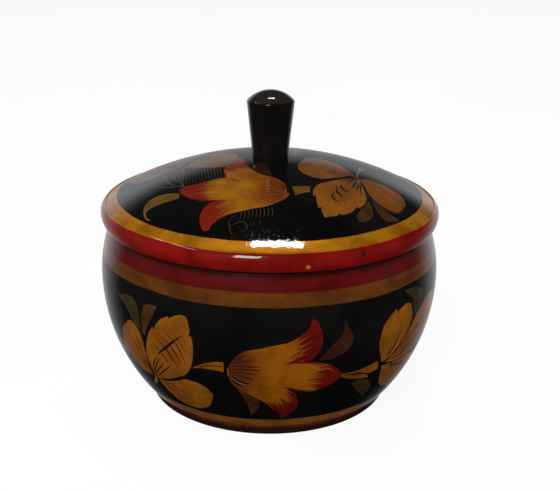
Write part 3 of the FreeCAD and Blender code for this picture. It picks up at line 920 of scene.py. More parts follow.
def build_bowl(materials):
    """The bowl: hollow, rim, painted bands, painted field, foot and underside."""
    piece = Turned()
    # The painted field, unrolled: its outline, its inner points and its triangles.
    half = 0.5 * GIRTH
    step = GIRTH / COLUMNS
    top = [(-half + step * i, 0.0) for i in range(COLUMNS + 1)]
    low = [(-half + step * i, FIELD_DEPTH) for i in range(COLUMNS, -1, -1)]
    rows = int(FIELD_DEPTH / GRID)
    right = [(half, FIELD_DEPTH * i / rows) for i in range(1, rows)]
    left = [(-half, FIELD_DEPTH * i / rows) for i in range(rows - 1, 0, -1)]
    grid = jittered_grid(-half + 0.7, half - 1.2, 0.0, FIELD_DEPTH - 0.5, lambda x, y: True, 5)
    flat, kept = field_mesh(bowl_layers(), [top + right + low + left], grid, lambda source: 0 in source)
    # Runs of the rim and of the red and gold bands above the field.
    rim_height = SEAT_HEIGHT - RIM_ROUND
    rise = rim_height - BELLY_HEIGHT
    rim_radius = UPPER_CENTRE[0] + math.sqrt((UPPER_ARC - RIM_ROUND) ** 2 - rise ** 2)
    rim_angle = math.atan2(rise, rim_radius - UPPER_CENTRE[0])
    red_angle = math.asin((RIM_RED_LOW - BELLY_HEIGHT) / UPPER_ARC)
    gold = arc_points(UPPER_CENTRE, UPPER_ARC, red_angle, FIELD_ANGLE, 5)
    rounding = arc_points((rim_radius, rim_height), RIM_ROUND, UP, rim_angle, 6)
    red = arc_points(UPPER_CENTRE, UPPER_ARC, rim_angle, red_angle, 4)
    rim_top = straight((MOUTH_RADIUS, SEAT_HEIGHT), (rim_radius, SEAT_HEIGHT), 3, UP)

    foot_gold, foot, underside = bowl_foot()
    ring = piece.strips(bowl_hollow(), "inside")
    ring = piece.strips([rim_top], "rim_red", ring)
    # The rounded rim under the lid takes a near-black red: painted shade in the seam.
    ring = piece.strips([rounding], "rim_edge", ring)
    piece.length = 0.0
    # The red band under the rim darkens towards the lid: painted shade.
    _, ring = piece.strip(red, "rim_red", first=ring, sway=(0.0, EDGE_SWAY))
    _, field_top = piece.strip(gold, "gold_band", first=ring, sway=(0.0, EDGE_SWAY))
    field_low, ring = piece.strip(foot_gold, "foot_gold", sway=(EDGE_SWAY, EDGE_SWAY))
    piece.length = 0.0
    ring = piece.strips(foot, "foot_red", ring)
    piece.strips(underside, "underside", ring)

    seam = {}

    def rings(point):
        x, y = point
        column = round((x + half) / step) % COLUMNS
        if y < NEAR:
            return field_top[column]
        if y > FIELD_DEPTH - NEAR:
            return field_low[column]
        if half - abs(x) < NEAR:
            key = round(y, 2)
            if key not in seam:
                seam[key] = piece.vertex(on_bowl(half, y)[0])
            return seam[key]
        return None

    add_field(piece, flat, kept, on_bowl, rings, "ground")
    return piece.mesh("painted_bowl", materials)


def lid_layers():
    """All shapes on the lid: a lily and a cluster, and the same again at the back in darker paints as painted
    shade.
    """
    result = []
    front = [lid_lily(), lid_cluster()]
    for motif in front:
        for layer in motif:
            # Rear copies take darker paints, painted shade for the lid's far side. The gilded leaf becomes a
            # darker, greyer copy, and pale and straw strokes take the brown hair paint.
            rear = layer.changed(rotated(REAR_TURN), 61.0).changed(wander(0.9, 21.0), 0.0)
            rear.paint = {"leaf": "rear_leaf", "pale": "hair", "straw": "hair"}.get(rear.paint, rear.paint)
            result.append(rear)
    for motif in front:
        result += motif
    # Dust and fine scratches: pale specks drawn only where the lid's front highlight falls, so partly painted
    # glints.
    rng = random.Random(12)
    for i in range(46):
        x, y = rng.gauss(-2.0, 6.0), -53.6 + abs(rng.gauss(0.0, 2.8))
        length = rng.uniform(0.10, 0.9)
        lean = rng.uniform(-0.25, 0.25)
        result.append(Layer(stroke([(x, y), (x + lean * length, y + length)], rng.uniform(0.05, 0.15),
                                   0.5, 0.5), "dust", (x, y), (x, y + 1.0), None, 300.0 + i))
    return result


def build_lid(materials):
    """The lid: painted bands, edge, seat, lip, hollow, knob seat and painted field."""
    piece = Turned()
    shoulder = LID_RADIUS - LID_SHOULDER
    meeting = math.atan2(LID_WIDEST - (LID_APEX - DOME_ARC), shoulder)
    dome_end = shoulder + LID_SHOULDER * math.cos(meeting)
    gold = [dome(LID_FIELD_RADIUS + (dome_end - LID_FIELD_RADIUS) * i / 3) for i in range(4)]
    band_angle = math.acos((LID_BAND_RADIUS - shoulder) / LID_SHOULDER)
    gold += arc_points((shoulder, LID_WIDEST), LID_SHOULDER, meeting, band_angle, 4)[1:]
    red = arc_points((shoulder, LID_WIDEST), LID_SHOULDER, band_angle, 0.0, 8)
    narrowing = LID_RADIUS - LID_EDGE_RADIUS
    drop = LID_WIDEST - LID_EDGE_HEIGHT
    curve = 1.0 - LID_EDGE_START
    edge = []
    for i in range(6):
        t = i / 5
        radius = LID_RADIUS - narrowing * t * (LID_EDGE_START + curve * t)
        lean = -math.atan(narrowing * (LID_EDGE_START + 2.0 * curve * t) / drop)
        edge.append((radius, LID_WIDEST - drop * t, lean))
    under = math.atan2(-(LID_EDGE_RADIUS - LID_SEAT_RADIUS), LID_EDGE_HEIGHT - SEAT_HEIGHT)
    chamfer = straight((LID_EDGE_RADIUS, LID_EDGE_HEIGHT), (LID_SEAT_RADIUS, SEAT_HEIGHT), 2, under)
    lip = MOUTH_RADIUS - LIP_CLEARANCE
    lip_low = SEAT_HEIGHT - LIP_DEPTH
    inner = lip - LIP_WIDTH

    def hollow(radius):
        angle = math.acos(radius / HOLLOW_ARC)
        return radius, HOLLOW_APEX - HOLLOW_ARC + HOLLOW_ARC * math.sin(angle), angle + math.pi

    seat = straight((LID_SEAT_RADIUS, SEAT_HEIGHT), (lip, SEAT_HEIGHT), 4, DOWN)
    lip_side = straight((lip, SEAT_HEIGHT), (lip, lip_low + LIP_EASE), 3, 0.0)
    ease = straight((lip, lip_low + LIP_EASE), (lip - LIP_EASE, lip_low), 1, -0.25 * math.pi)
    lip_face = straight((lip - LIP_EASE, lip_low), (inner, lip_low), 3, DOWN)
    lip_inner = straight((inner, lip_low), (inner, hollow(inner)[1]), 4, math.pi)
    ceiling = [hollow(inner + (TENON_RADIUS - inner) * i / 14) for i in range(15)]
    hole = straight((TENON_RADIUS, hollow(TENON_RADIUS)[1]), (TENON_RADIUS, KNOB_SEAT_HEIGHT), 3, math.pi)
    knob_seat = straight((TENON_RADIUS, KNOB_SEAT_HEIGHT), (KNOB_FOOT_RADIUS, KNOB_SEAT_HEIGHT), 1, UP)
    knob_step = straight((KNOB_FOOT_RADIUS, KNOB_SEAT_HEIGHT), (KNOB_FOOT_RADIUS,
                                                                dome(KNOB_FOOT_RADIUS)[1]), 1, math.pi)

    field_edge, ring = piece.strip(gold, "lid_gold", sway=(EDGE_SWAY, EDGE_SWAY))
    ring = piece.strips([red, edge], "lid_red", ring)
    # The chamfer under the edge is painted a darker red: painted shade in the seam between lid and bowl.
    ring = piece.strips([chamfer], "groove", ring)
    ring = piece.strips([seat, lip_side, ease, lip_face, lip_inner, ceiling, hole], "inside", ring)
    knob_ring = piece.strips([knob_seat, knob_step], "ground", ring)

    def circle(radius):
        turns = [2 * math.pi * i / COLUMNS - math.pi for i in range(COLUMNS)]
        return [(radius * math.sin(t), -radius * math.cos(t)) for t in turns]

    def keep(x, y):
        return KNOB_FOOT_RADIUS + 0.5 < math.hypot(x, y) < LID_FIELD_RADIUS - 0.7

    size = LID_FIELD_RADIUS
    grid = jittered_grid(-size, size, -size, size, keep, 7)
    edges = [circle(LID_FIELD_RADIUS), circle(KNOB_FOOT_RADIUS)]
    flat, kept = field_mesh(lid_layers(), edges, grid, lambda source: 0 in source and 1 not in source)

    def rings(point):
        radius = math.hypot(*point)
        column = round((math.atan2(point[0], -point[1]) + math.pi) / (2 * math.pi) * COLUMNS) % COLUMNS
        if abs(radius - LID_FIELD_RADIUS) < CHORD:
            return field_edge[column]
        if abs(radius - KNOB_FOOT_RADIUS) < CHORD_AT_KNOB:
            return knob_ring[column]
        return None

    add_field(piece, flat, kept, on_lid, rings, "ground")
    return piece.mesh("painted_lid", materials)


def build_knob(materials):
    """The knob: tenon, flared side and domed crown."""
    piece = Turned()
    heights = [KNOB_SEAT_HEIGHT, KNOB_WAIST_HEIGHT, 0.5 * (KNOB_WAIST_HEIGHT + KNOB_WIDEST), KNOB_WIDEST]
    radii = [KNOB_FOOT_RADIUS, KNOB_WAIST_RADIUS, 0.5 * (KNOB_WAIST_RADIUS + KNOB_RADIUS), KNOB_RADIUS]
    path = catmull(list(zip(radii, heights)), False, 6)
    side = []
    for i, (r, z) in enumerate(path):
        before, after = path[max(i - 1, 0)], path[min(i + 1, len(path) - 1)]
        side.append((r, z, -math.atan2(after[0] - before[0], after[1] - before[1])))
    shoulder = KNOB_RADIUS - KNOB_SHOULDER
    rise = KNOB_TOP - KNOB_WIDEST
    crown_arc = (shoulder ** 2 + rise ** 2 - KNOB_SHOULDER ** 2) / (2 * (rise - KNOB_SHOULDER))
    centre = KNOB_TOP - crown_arc
    meeting = math.atan2(KNOB_WIDEST - centre, shoulder)
    rounding = arc_points((shoulder, KNOB_WIDEST), KNOB_SHOULDER, 0.0, meeting, 6)
    crown = arc_points((0.0, centre), crown_arc, meeting, UP, 10)
    crown[-1] = (0.0, crown[-1][1], UP)
    low = HOLLOW_APEX - HOLLOW_ARC + math.sqrt(HOLLOW_ARC ** 2 - TENON_RADIUS ** 2)
    end = straight((0.0, low), (TENON_RADIUS, low), 2, DOWN)
    tenon = straight((TENON_RADIUS, low), (TENON_RADIUS, KNOB_SEAT_HEIGHT), 3, 0.0)
    foot = straight((TENON_RADIUS, KNOB_SEAT_HEIGHT), (KNOB_FOOT_RADIUS, KNOB_SEAT_HEIGHT), 1, DOWN)
    ring = piece.strips([end, tenon, foot, side, rounding], "knob_black")
    piece.strips([crown], "knob_crown", ring)
    return piece.mesh("painted_knob", materials)


# =============================================================================
# Paints
# =============================================================================

class Nodes:
    """Short calls for building the nodes of one material or of the world."""

    def __init__(self, owner):
        self.owner = owner
        owner.use_nodes = True
        self.tree = owner.node_tree
        self.shader = self.tree.nodes.get("Principled BSDF")

    def add(self, kind, **settings):
        """A new node with these settings."""
        node = self.tree.nodes.new(kind)
        for key, value in settings.items():
            setattr(node, key, value)
        return node

    def link(self, source, target):
        self.tree.links.new(source, target)

    def attribute(self, name):
        return self.add("ShaderNodeAttribute", attribute_name=name)

    def scaled(self, vector, scale):
        """A vector with each part multiplied by its own scale."""
        node = self.add("ShaderNodeVectorMath", operation="MULTIPLY")
        self.link(vector, node.inputs[0])
        node.inputs[1].default_value = scale
        return node.outputs[0]

    def noise(self, vector, scale, detail=3.0, roughness=0.55):
        """A noise pattern, with scale in cells for each unit of the vector."""
        node = self.add("ShaderNodeTexNoise")
        self.link(vector, node.inputs["Vector"])
        node.inputs["Scale"].default_value = scale
        node.inputs["Detail"].default_value = detail
        node.inputs["Roughness"].default_value = roughness
        return node.outputs["Fac"]

    def remap(self, value, low, high, to_low=0.0, to_high=1.0):
        """Carry low..high smoothly over to to_low..to_high, and hold the ends."""
        node = self.add("ShaderNodeMapRange", interpolation_type="SMOOTHSTEP")
        self.link(value, node.inputs["Value"])
        for key, number in (("From Min", low), ("From Max", high), ("To Min", to_low), ("To Max", to_high)):
            node.inputs[key].default_value = number
        return node.outputs["Result"]

    def place(self, kind="Object"):
        """Where the shaded point lies, on the object or, for Generated, in the sky."""
        return self.add("ShaderNodeTexCoord").outputs[kind]

    def brush(self):
        """The shape's own brush coordinates, in millimetres."""
        return self.attribute("brush").outputs["Vector"]

    def parts(self, vector):
        """The x, y and z of a vector."""
        node = self.add("ShaderNodeSeparateXYZ")
        self.link(vector, node.inputs[0])
        return node.outputs

    def math(self, operation, *values):
        """A sum, product or other operation on sockets and plain numbers."""
        node = self.add("ShaderNodeMath", operation=operation)
        for socket, value in zip(node.inputs, values):
            if isinstance(value, (int, float)):
                socket.default_value = value
            else:
                self.link(value, socket)
        return node.outputs[0]

    def mix(self, factor, a, b):
        """Colour a where factor is 0 and b where it is 1."""
        node = self.add("ShaderNodeMix", data_type="RGBA")
        sockets = (node.inputs["Factor"], node.inputs[6], node.inputs[7])
        for socket, value in zip(sockets, (factor, a, b)):
            if isinstance(value, tuple):
                socket.default_value = (*value, 1.0)
            elif isinstance(value, (int, float)):
                socket.default_value = value
            else:
                self.link(value, socket)
        return node.outputs[2]


LACQUER_BUMP = 0.00003        # depth of the lacquer's slight unevenness, in metres
COAT_IOR = 1.48               # refractive index of the clear lacquer
KNOB_IOR = 1.33               # lower where the lacquer is rubbed thin
DULL_IOR = 1.08               # the rim's edge under the lid, which hardly shines
COAT_ROUGHNESS = 0.028
# Fineness of the noise patterns, in cells per metre of the object.
PEEL = 900.0                  # orange peel of the lacquer
RIPPLE = 75.0                 # slow unevenness left by turning
WEAR = 160.0                  # duller and glossier places
SPECK = 2600.0                # tarnish specks in the tin powder


def lacquered(nodes, colour, roughness, metallic=0.0, grain=None, specular=0.05, coat_ior=COAT_IOR):
    """Finish a paint: clear lacquer coat, slight orange peel and the turned ripples under it."""
    shader = nodes.shader.inputs
    nodes.link(colour, shader["Base Color"])
    place = nodes.place()
    peel = nodes.noise(nodes.scaled(place, (1.5, 0.7, 0.7)), PEEL, 2.0)
    slow = nodes.noise(nodes.scaled(place, (1.0, 1.0, 3.2)), RIPPLE, 2.0)
    height = nodes.math("ADD", nodes.math("MULTIPLY", peel, 0.8), slow)
    bump = nodes.add("ShaderNodeBump")
    bump.inputs["Distance"].default_value = LACQUER_BUMP
    bump.inputs["Strength"].default_value = 0.8
    nodes.link(height, bump.inputs["Height"])
    nodes.link(bump.outputs["Normal"], shader["Coat Normal"])
    under = nodes.add("ShaderNodeBump")
    under.inputs["Distance"].default_value = 2.0 * LACQUER_BUMP
    under.inputs["Strength"].default_value = 0.7
    nodes.link(grain or slow, under.inputs["Height"])
    nodes.link(under.outputs["Normal"], shader["Normal"])
    wear = nodes.noise(place, WEAR, 4.0)
    nodes.link(nodes.remap(wear, 0.3, 0.75, roughness - 0.06, roughness + 0.08), shader["Roughness"])
    shader["Metallic"].default_value = metallic
    shader["Specular IOR Level"].default_value = specular
    shader["Coat Weight"].default_value = 1.0
    shader["Coat Roughness"].default_value = COAT_ROUGHNESS
    shader["Coat IOR"].default_value = coat_ior
    return nodes.owner


def specks(nodes, colour, dark):
    """Fine tarnish specks in tin powder."""
    place = nodes.place()
    grain = nodes.noise(place, SPECK, 2.0, 0.7)
    return nodes.mix(nodes.remap(grain, 0.56, 0.72, 0.0, 0.3), colour, dark)


def ground_paint(name):
    """Black ground: cloudy, with fine dust."""
    nodes = Nodes(bpy.data.materials.new(name))
    place = nodes.place()
    cloud = nodes.noise(place, 60.0, 4.0)
    colour = nodes.mix(nodes.remap(cloud, 0.35, 0.7), (0.0030, 0.0029, 0.0028), (0.0056, 0.0050, 0.0046))
    dust = nodes.noise(place, 3200.0, 1.0)
    colour = nodes.mix(nodes.remap(dust, 0.70, 0.78, 0.0, 0.5), colour, (0.02, 0.018, 0.015))
    return lacquered(nodes, colour, 0.5, specular=0.0)


def leaf_paint(name, light, deep, tarnish, metallic):
    """Gilded leaf: tin powder in brush streaks that follow the leaf."""
    nodes = Nodes(bpy.data.materials.new(name))
    brush = nodes.brush()
    place = nodes.place()
    streaks = nodes.noise(nodes.scaled(brush, (0.10, 1.3, 1.0)), 1.0, 3.0)
    patches = nodes.noise(place, 130.0, 4.0, 0.6)
    colour = nodes.mix(nodes.remap(patches, 0.32, 0.68), light, deep)
    colour = nodes.mix(nodes.remap(streaks, 0.4, 0.75, 0.0, 0.5), colour, deep)
    colour = specks(nodes, colour, tarnish)
    flaws = nodes.noise(place, 520.0, 2.0, 0.6)
    colour = nodes.mix(nodes.remap(flaws, 0.70, 0.76, 0.0, 0.65), colour, tuple(0.35 * c for c in deep))
    return lacquered(nodes, colour, 0.40, metallic, streaks)


def petal_paint(name, gold, amber, red, deep_red, wash):
    """Lily petal: gilded, with the tip painted red and feathered into the gold."""
    nodes = Nodes(bpy.data.materials.new(name))
    brush = nodes.brush()
    tip = nodes.attribute("tip").outputs["Fac"]
    place = nodes.place()
    streaks = nodes.noise(nodes.scaled(brush, (0.07, 1.25, 1.0)), 1.0, 2.0)
    fine = nodes.noise(nodes.scaled(brush, (0.12, 3.4, 1.0)), 1.0, 2.0)
    patches = nodes.noise(place, 140.0, 4.0, 0.6)
    body = nodes.mix(nodes.remap(patches, 0.32, 0.7), gold, amber)
    body = nodes.mix(nodes.remap(fine, 0.45, 0.75, 0.0, 0.4), body, amber)
    body = specks(nodes, body, (0.09, 0.035, 0.006))
    # Feathered edge: the streaks push the red line back and forth along the petal.
    push = nodes.math("MULTIPLY", nodes.math("SUBTRACT", streaks, 0.5), 13.0)
    push = nodes.math("ADD", push, nodes.math("MULTIPLY", nodes.math("SUBTRACT", fine, 0.5), 6.0))
    edge = nodes.math("ADD", tip, push)
    scarlet = nodes.mix(nodes.remap(streaks, 0.35, 0.7), red, deep_red)
    colour = nodes.mix(nodes.remap(edge, -1.7, 1.7), body, scarlet)
    # Brown wash dragged out of the petal's base.
    along = nodes.parts(brush)[0]
    reach = nodes.math("ADD", along, nodes.math("MULTIPLY", fine, 10.0))
    colour = nodes.mix(nodes.remap(reach, 8.5, 18.0, 0.85, 0.0), colour, wash)
    return lacquered(nodes, colour, 0.40, 0.12, streaks)


def band_paint(name, light, deep, tarnish=None, metallic=0.0, worn=None, shade=None, spots=(),
               coat_ior=COAT_IOR):
    """Paint laid on while the wood turns: streaks run round the axis.

    shade is (start, end, colour): painted shade, the paint turns to colour between two lengths along the
    profile.
    spots are (place in millimetres, radius, colour): flecks in the paint.
    """
    nodes = Nodes(bpy.data.materials.new(name))
    brush = nodes.brush()
    place = nodes.place()
    length = nodes.parts(brush)[1]
    x, y, _ = nodes.parts(place)
    joined = nodes.add("ShaderNodeCombineXYZ")
    for socket, value, scale in zip(joined.inputs, (x, y, length), (9.0, 9.0, 1.1)):
        nodes.link(nodes.math("MULTIPLY", value, scale), socket)
    rings = nodes.noise(joined.outputs[0], 1.0, 3.0)
    patches = nodes.noise(place, 95.0, 4.0, 0.6)
    colour = nodes.mix(nodes.remap(patches, 0.34, 0.7), light, deep)
    colour = nodes.mix(nodes.remap(rings, 0.42, 0.72, 0.0, 0.55), colour, deep)
    if tarnish:
        colour = specks(nodes, colour, tarnish)
    if worn:
        rubbed = nodes.noise(place, 420.0, 3.0, 0.65)
        colour = nodes.mix(nodes.remap(rubbed, 0.70, 0.76, 0.0, 0.75), colour, worn)
    # Painted shade: the paint darkens to the shade colour along the profile.
    if shade:
        start, end, dark = shade
        depth = nodes.math("ADD", length, nodes.math("MULTIPLY", patches, 0.8))
        colour = nodes.mix(nodes.remap(depth, start + 0.4, end + 0.4), colour, dark)
    for spot, radius, tint in spots:
        gap = nodes.add("ShaderNodeVectorMath", operation="DISTANCE")
        nodes.link(place, gap.inputs[0])
        gap.inputs[1].default_value = [c * MM for c in spot]
        inside = nodes.remap(gap.outputs["Value"], radius * 0.8 * MM, radius * 1.15 * MM, 1.0, 0.0)
        colour = nodes.mix(inside, colour, tint)
    return lacquered(nodes, colour, 0.38, metallic, rings, coat_ior=coat_ior)


TARNISH = (0.07, 0.024, 0.004)

# Brushed paints: material name, light, deep and tarnish colours (linear), and share of metal.
LEAF_PAINTS = {
    "leaf": ("gilded_leaf", (0.330, 0.110, 0.0090), (0.205, 0.060, 0.0050), TARNISH, 0.25),
    # The rear leaf: a darker, greyer copy of the gilded leaf, painted shade for the lid's far side.
    "rear_leaf": ("rear_leaf", (0.210, 0.082, 0.0180), (0.125, 0.047, 0.0110), TARNISH, 0.25),
    "gold": ("gilded_stroke", (0.30, 0.100, 0.0045), (0.165, 0.048, 0.0030), TARNISH, 0.25),
    "lid_olive": ("lid_olive_leaf", (0.230, 0.110, 0.0085), (0.100, 0.050, 0.0065), (0.03, 0.02, 0.005), 0.1),
    "tawny": ("tawny_leaf", (0.078, 0.033, 0.0075), (0.034, 0.0135, 0.0050), (0.015, 0.008, 0.004), 0.1),
    "olive": ("olive_leaf", (0.050, 0.034, 0.0075), (0.024, 0.016, 0.0050), (0.012, 0.009, 0.004), 0.1),
    "straw": ("straw_stroke", (0.100, 0.066, 0.030), (0.055, 0.035, 0.016), (0.04, 0.025, 0.01), 0.0),
    # dust: pale specks on the lid, partly painted glints where its highlight falls.
    "dust": ("dust", (0.26, 0.26, 0.25), (0.11, 0.11, 0.105), (0.2, 0.2, 0.2), 0.0),
    "maroon": ("maroon_leaf", (0.050, 0.0140, 0.0055), (0.023, 0.0078, 0.0048), (0.012, 0.004, 0.004), 0.0),
    "umber": ("umber_stroke", (0.100, 0.024, 0.0050), (0.055, 0.013, 0.0040), (0.03, 0.009, 0.004), 0.0),
    "dark": ("dark_stroke", (0.016, 0.0055, 0.0050), (0.0060, 0.0040, 0.0050), (0.005, 0.004, 0.004), 0.0),
    "red": ("red_stroke", (0.150, 0.0075, 0.0050), (0.095, 0.0045, 0.0040), (0.05, 0.004, 0.004), 0.0),
    "orange": ("orange_stroke", (0.260, 0.040, 0.0050), (0.200, 0.026, 0.0045), (0.1, 0.01, 0.004), 0.0),
    "pale": ("pale_stroke", (0.260, 0.175, 0.085), (0.150, 0.090, 0.035), (0.08, 0.05, 0.02), 0.0),
    "hair": ("brown_hair", (0.050, 0.033, 0.016), (0.026, 0.016, 0.008), (0.02, 0.012, 0.006), 0.0),
}


def petal_paints():
    """The lilies on the bowl, and a brighter, yellower copy on the lid: painted light, for the stronger light
    on the lid from above.
    """
    bowl = petal_paint("lily_petal", gold=(0.310, 0.105, 0.0040), amber=(0.215, 0.054, 0.0030),
                       red=(0.130, 0.0065, 0.0040), deep_red=(0.080, 0.0040, 0.0035),
                       wash=(0.075, 0.012, 0.005))
    # The lid's lily is the same paint made brighter: painted light from above.
    lid = petal_paint("lit_lid_lily_petal", gold=(0.390, 0.156, 0.0050), amber=(0.265, 0.076, 0.0035),
                      red=(0.240, 0.0180, 0.0040), deep_red=(0.150, 0.0080, 0.0040),
                      wash=(0.17, 0.030, 0.004))
    return {"petal": bowl, "lid_petal": lid}


def gold_paints():
    """Bands of tin powder, brightest on the lid, and the gilded inside. The lid's band is brightened and
    yellowed, partly as painted light from above and painted sheen.
    """
    return {
        # The lid's band: tin powder, made brighter and yellower, partly as painted sheen and painted light
        # from above.
        "lid_gold": band_paint("lit_lid_gold_band", (0.62, 0.250, 0.0060), (0.34, 0.112, 0.0035),
                               TARNISH, 0.45),
        "gold_band": band_paint("bowl_gold_band", (0.150, 0.047, 0.0060), (0.072, 0.019, 0.0040),
                                TARNISH, 0.3),
        "foot_gold": band_paint("foot_gold_band", (0.40, 0.150, 0.0250), (0.19, 0.062, 0.0090),
                                TARNISH, 0.2),
        "inside": band_paint("gilded_inside", (0.34, 0.125, 0.012), (0.21, 0.068, 0.007),
                             TARNISH, 0.35),
    }


def red_paints():
    """Red bands: the lid's edge with its two flecks, the bowl's rim and the foot. The rim darkens towards the
    lid and the foot towards its toe, and the rim's edge and the groove are dark: painted shade.
    """
    flecks = (((12.0, -58.8, 66.9), 0.8, (0.42, 0.12, 0.015)),
              ((29.3, -52.5, 69.3), 0.75, (0.03, 0.004, 0.004)))
    return {
        "lid_red": band_paint("lid_red_band", (0.20, 0.0065, 0.0045), (0.125, 0.0035, 0.0030),
                              spots=flecks),
        # The rim's red is darker than the lid's and darkens further towards the lid's edge. The darkening
        # there is painted shade under the lid.
        "rim_red": band_paint("rim_red_band_shaded", (0.100, 0.0040, 0.0036), (0.055, 0.0028, 0.0028),
                              shade=(2.0, -0.3, (0.016, 0.0035, 0.0035))),
        # The rim's rounded edge under the lid is near-black red: painted shade in the seam. Its dull coat
        # keeps it from shining.
        "rim_edge": band_paint("rim_edge", (0.026, 0.0040, 0.0035), (0.012, 0.0030, 0.0030),
                               coat_ior=DULL_IOR),
        # The chamfer under the lid's edge is a darker red than the edge: painted shade in the seam.
        "groove": band_paint("groove_painted_shade", (0.090, 0.006, 0.005), (0.045, 0.004, 0.004)),
        # The foot's red darkens towards its toe: painted shade on the lower curve. The rubbed flecks are
        # wear.
        "foot_red": band_paint("foot_red_band", (0.19, 0.021, 0.008), (0.085, 0.010, 0.006),
                               worn=(0.02, 0.008, 0.006), shade=(2.6, 4.4, (0.012, 0.005, 0.004))),
    }


def black_paints():
    """Black ground, underside and knob, with the knob's crown a brown paint with worn flecks."""
    return {
        "ground": ground_paint("black_ground"),
        "underside": band_paint("underside_black", (0.0052, 0.0048, 0.0045), (0.0030, 0.0029, 0.0028),
                                worn=(0.06, 0.03, 0.012)),
        "knob_black": band_paint("knob_black", (0.0052, 0.0048, 0.0046), (0.0030, 0.0029, 0.0028),
                                 coat_ior=KNOB_IOR),
        "knob_crown": band_paint("knob_crown", (0.024, 0.017, 0.0125), (0.0120, 0.0090, 0.0070),
                                 worn=(0.06, 0.036, 0.020)),
    }


def make_paints():
    """All paints by the short names that the layers and strips use."""
    paints = {key: leaf_paint(*values) for key, values in LEAF_PAINTS.items()}
    for group in (petal_paints(), gold_paints(), red_paints(), black_paints()):
        paints.update(group)
    return paints


# =============================================================================
# Stage, light and camera
# =============================================================================

CAMERA_DISTANCE = 0.3499      # camera in front of the bowl's axis
CAMERA_HEIGHT = 0.1767
CAMERA_PITCH = 19.45          # degrees down from level
CAMERA_ROLL = 0.56            # degrees about its own line of sight
LENS = 65.3                   # millimetres on a 36 mm sensor
SHIFT_X = 0.0189              # the axis stands a little left of the middle


def build_camera():
    """The camera at the photograph's viewing angle."""
    data = bpy.data.cameras.new("camera")
    data.lens = LENS
    data.sensor_width = 36.0
    data.shift_x = SHIFT_X
    data.clip_start = 0.01
    camera = bpy.data.objects.new("camera", data)
    camera.location = (0.0, -CAMERA_DISTANCE, CAMERA_HEIGHT)
    tilt = Matrix.Rotation(math.radians(90 - CAMERA_PITCH), 3, "X")
    roll = Matrix.Rotation(math.radians(CAMERA_ROLL), 3, "Z")
    camera.rotation_euler = (tilt @ roll).to_euler()
    bpy.context.scene.collection.objects.link(camera)
    bpy.context.scene.camera = camera


STAGE_FLAT = 2.0              # radius of the flat floor, in metres
STAGE_BEND = 0.8              # radius of the bend up into the wall
STAGE_WALL = (1.6, 2.4)       # heights of the wall's rings
STAGE_COLUMNS = 96
STAGE_GLOW = 0.915


def build_cove():
    """A pale floor that curves up into a wall all round."""
    profile = [(0.4, 0.0), (1.0, 0.0), (STAGE_FLAT, 0.0)]
    for i in range(1, 13):
        angle = 0.5 * math.pi * i / 12
        profile.append((STAGE_FLAT + STAGE_BEND * math.sin(angle), STAGE_BEND * (1.0 - math.cos(angle))))
    profile += [(STAGE_FLAT + STAGE_BEND, height) for height in STAGE_WALL]
    verts = [(0.0, 0.0, 0.0)]
    for r, z in profile:
        for i in range(STAGE_COLUMNS):
            turn = 2 * math.pi * i / STAGE_COLUMNS
            verts.append((r * math.cos(turn), r * math.sin(turn), z))
    faces = [(0, 1 + i, 1 + (i + 1) % STAGE_COLUMNS) for i in range(STAGE_COLUMNS)]
    for row in range(len(profile) - 1):
        low = 1 + row * STAGE_COLUMNS
        high = low + STAGE_COLUMNS
        for i in range(STAGE_COLUMNS):
            j = (i + 1) % STAGE_COLUMNS
            faces.append((low + i, high + i, high + j, low + j))
    data = bpy.data.meshes.new("cove")
    data.from_pydata(verts, [], faces)
    data.polygons.foreach_set("use_smooth", [True] * len(faces))
    cove = bpy.data.objects.new("cove", data)
    nodes = Nodes(bpy.data.materials.new("pale_floor"))
    place = nodes.place()
    cloud = nodes.noise(place, 6.0, 3.0)
    colour = nodes.mix(nodes.remap(cloud, 0.3, 0.7), (0.11, 0.11, 0.11), (0.095, 0.095, 0.095))
    nodes.link(colour, nodes.shader.inputs["Base Color"])
    nodes.shader.inputs["Roughness"].default_value = 0.9
    nodes.shader.inputs["Specular IOR Level"].default_value = 0.1
    nodes.shader.inputs["Emission Color"].default_value = (1.0, 1.0, 1.0, 1.0)
    nodes.shader.inputs["Emission Strength"].default_value = STAGE_GLOW
    data.materials.append(nodes.owner)
    bpy.context.scene.collection.objects.link(cove)
    cove.visible_glossy = False
    cove.visible_diffuse = False


LIGHT_TARGET = (0.0, 0.0, 0.07)    # every light faces this point, in metres


def area_light(name, direction, distance, size, radiance, mirrored=True, twist=0.0):
    """A soft rectangular light: direction is (azimuth from the front, elevation) in degrees.

    twist turns it about its own line of sight.
    """
    azimuth, elevation = (math.radians(x) for x in direction)
    out = Vector((math.sin(azimuth) * math.cos(elevation), -math.cos(azimuth) * math.cos(elevation),
                  math.sin(elevation)))
    data = bpy.data.lights.new(name, "AREA")
    data.shape = "RECTANGLE"
    data.size, data.size_y = size
    data.energy = radiance * math.pi * size[0] * size[1]
    light = bpy.data.objects.new(name, data)
    light.location = Vector(LIGHT_TARGET) + out * distance
    facing = (-out).to_track_quat("-Z", "Y").to_matrix()
    light.rotation_euler = (facing @ Matrix.Rotation(math.radians(twist), 3, "Z")).to_euler()
    light.visible_camera = False
    light.visible_glossy = mirrored
    bpy.context.scene.collection.objects.link(light)


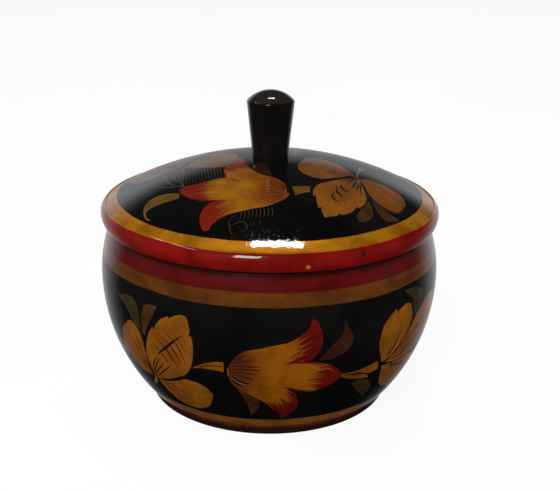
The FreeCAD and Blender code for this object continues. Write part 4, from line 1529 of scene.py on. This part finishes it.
SKY_LEAN = 0.16               # how much lower the bright surroundings end on the right


def build_world():
    """Soft surroundings: bright low down at the back and sides, dark in front and overhead.

    x, y and z are the direction looked in: right, back and up.
    """
    world = bpy.data.worlds.new("studio")
    bpy.context.scene.world = world
    nodes = Nodes(world)
    x, y, z = nodes.parts(nodes.place("Generated"))
    sides = nodes.remap(y, 0.35, 0.90, 0.02, 0.72)
    behind = nodes.remap(y, 0.90, 0.99, 0.0, -0.36)
    above = nodes.remap(nodes.math("MULTIPLY_ADD", x, SKY_LEAN, z), 0.18, 0.42, 1.0, 0.05)
    below = nodes.remap(z, -0.85, -0.10, 0.05, 1.0)
    strength = nodes.math("MULTIPLY", nodes.math("ADD", sides, behind), above)
    background = nodes.tree.nodes["Background"]
    nodes.link(nodes.math("MULTIPLY", strength, below), background.inputs["Strength"])
    background.inputs["Color"].default_value = (0.96, 0.98, 1.0, 1.0)


def main():
    """Build the setting and the three pieces."""
    bpy.context.scene.view_settings.view_transform = "Standard"
    build_camera()
    build_cove()
    build_world()
    area_light("overhead_strip", (171, 76.5), 1.2, (0.31, 0.042), 60.0, twist=10.0)
    area_light("front_window", (-15, 36), 1.1, (0.28, 0.40), 12.0)
    area_light("left_strip", (-88, 50), 1.1, (0.75, 0.03), 13.0)
    area_light("front_soft", (-24, 18), 1.3, (0.9, 0.6), 3.7, mirrored=False)
    area_light("low_soft", (10, 4), 1.2, (1.0, 0.16), 8.0, mirrored=False)
    area_light("left_soft", (-90, 5), 1.3, (0.8, 0.5), 8.0, mirrored=False)
    area_light("right_soft", (82, 5), 1.3, (0.8, 0.5), 8.0, mirrored=False)
    area_light("back_soft", (170, 30), 1.4, (1.0, 0.7), 0.8, mirrored=False)
    materials = make_paints()
    pieces = ((build_bowl(materials), "bowl", "bowl", "bowl_lacquer"),
              (build_lid(materials), "lid", "lid", "lid_lacquer"),
              (build_knob(materials), "lid_knob", "lid", "knob_lacquer"))
    for piece, node, body, slot in pieces:
        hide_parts(node)
        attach(piece, body)


main()
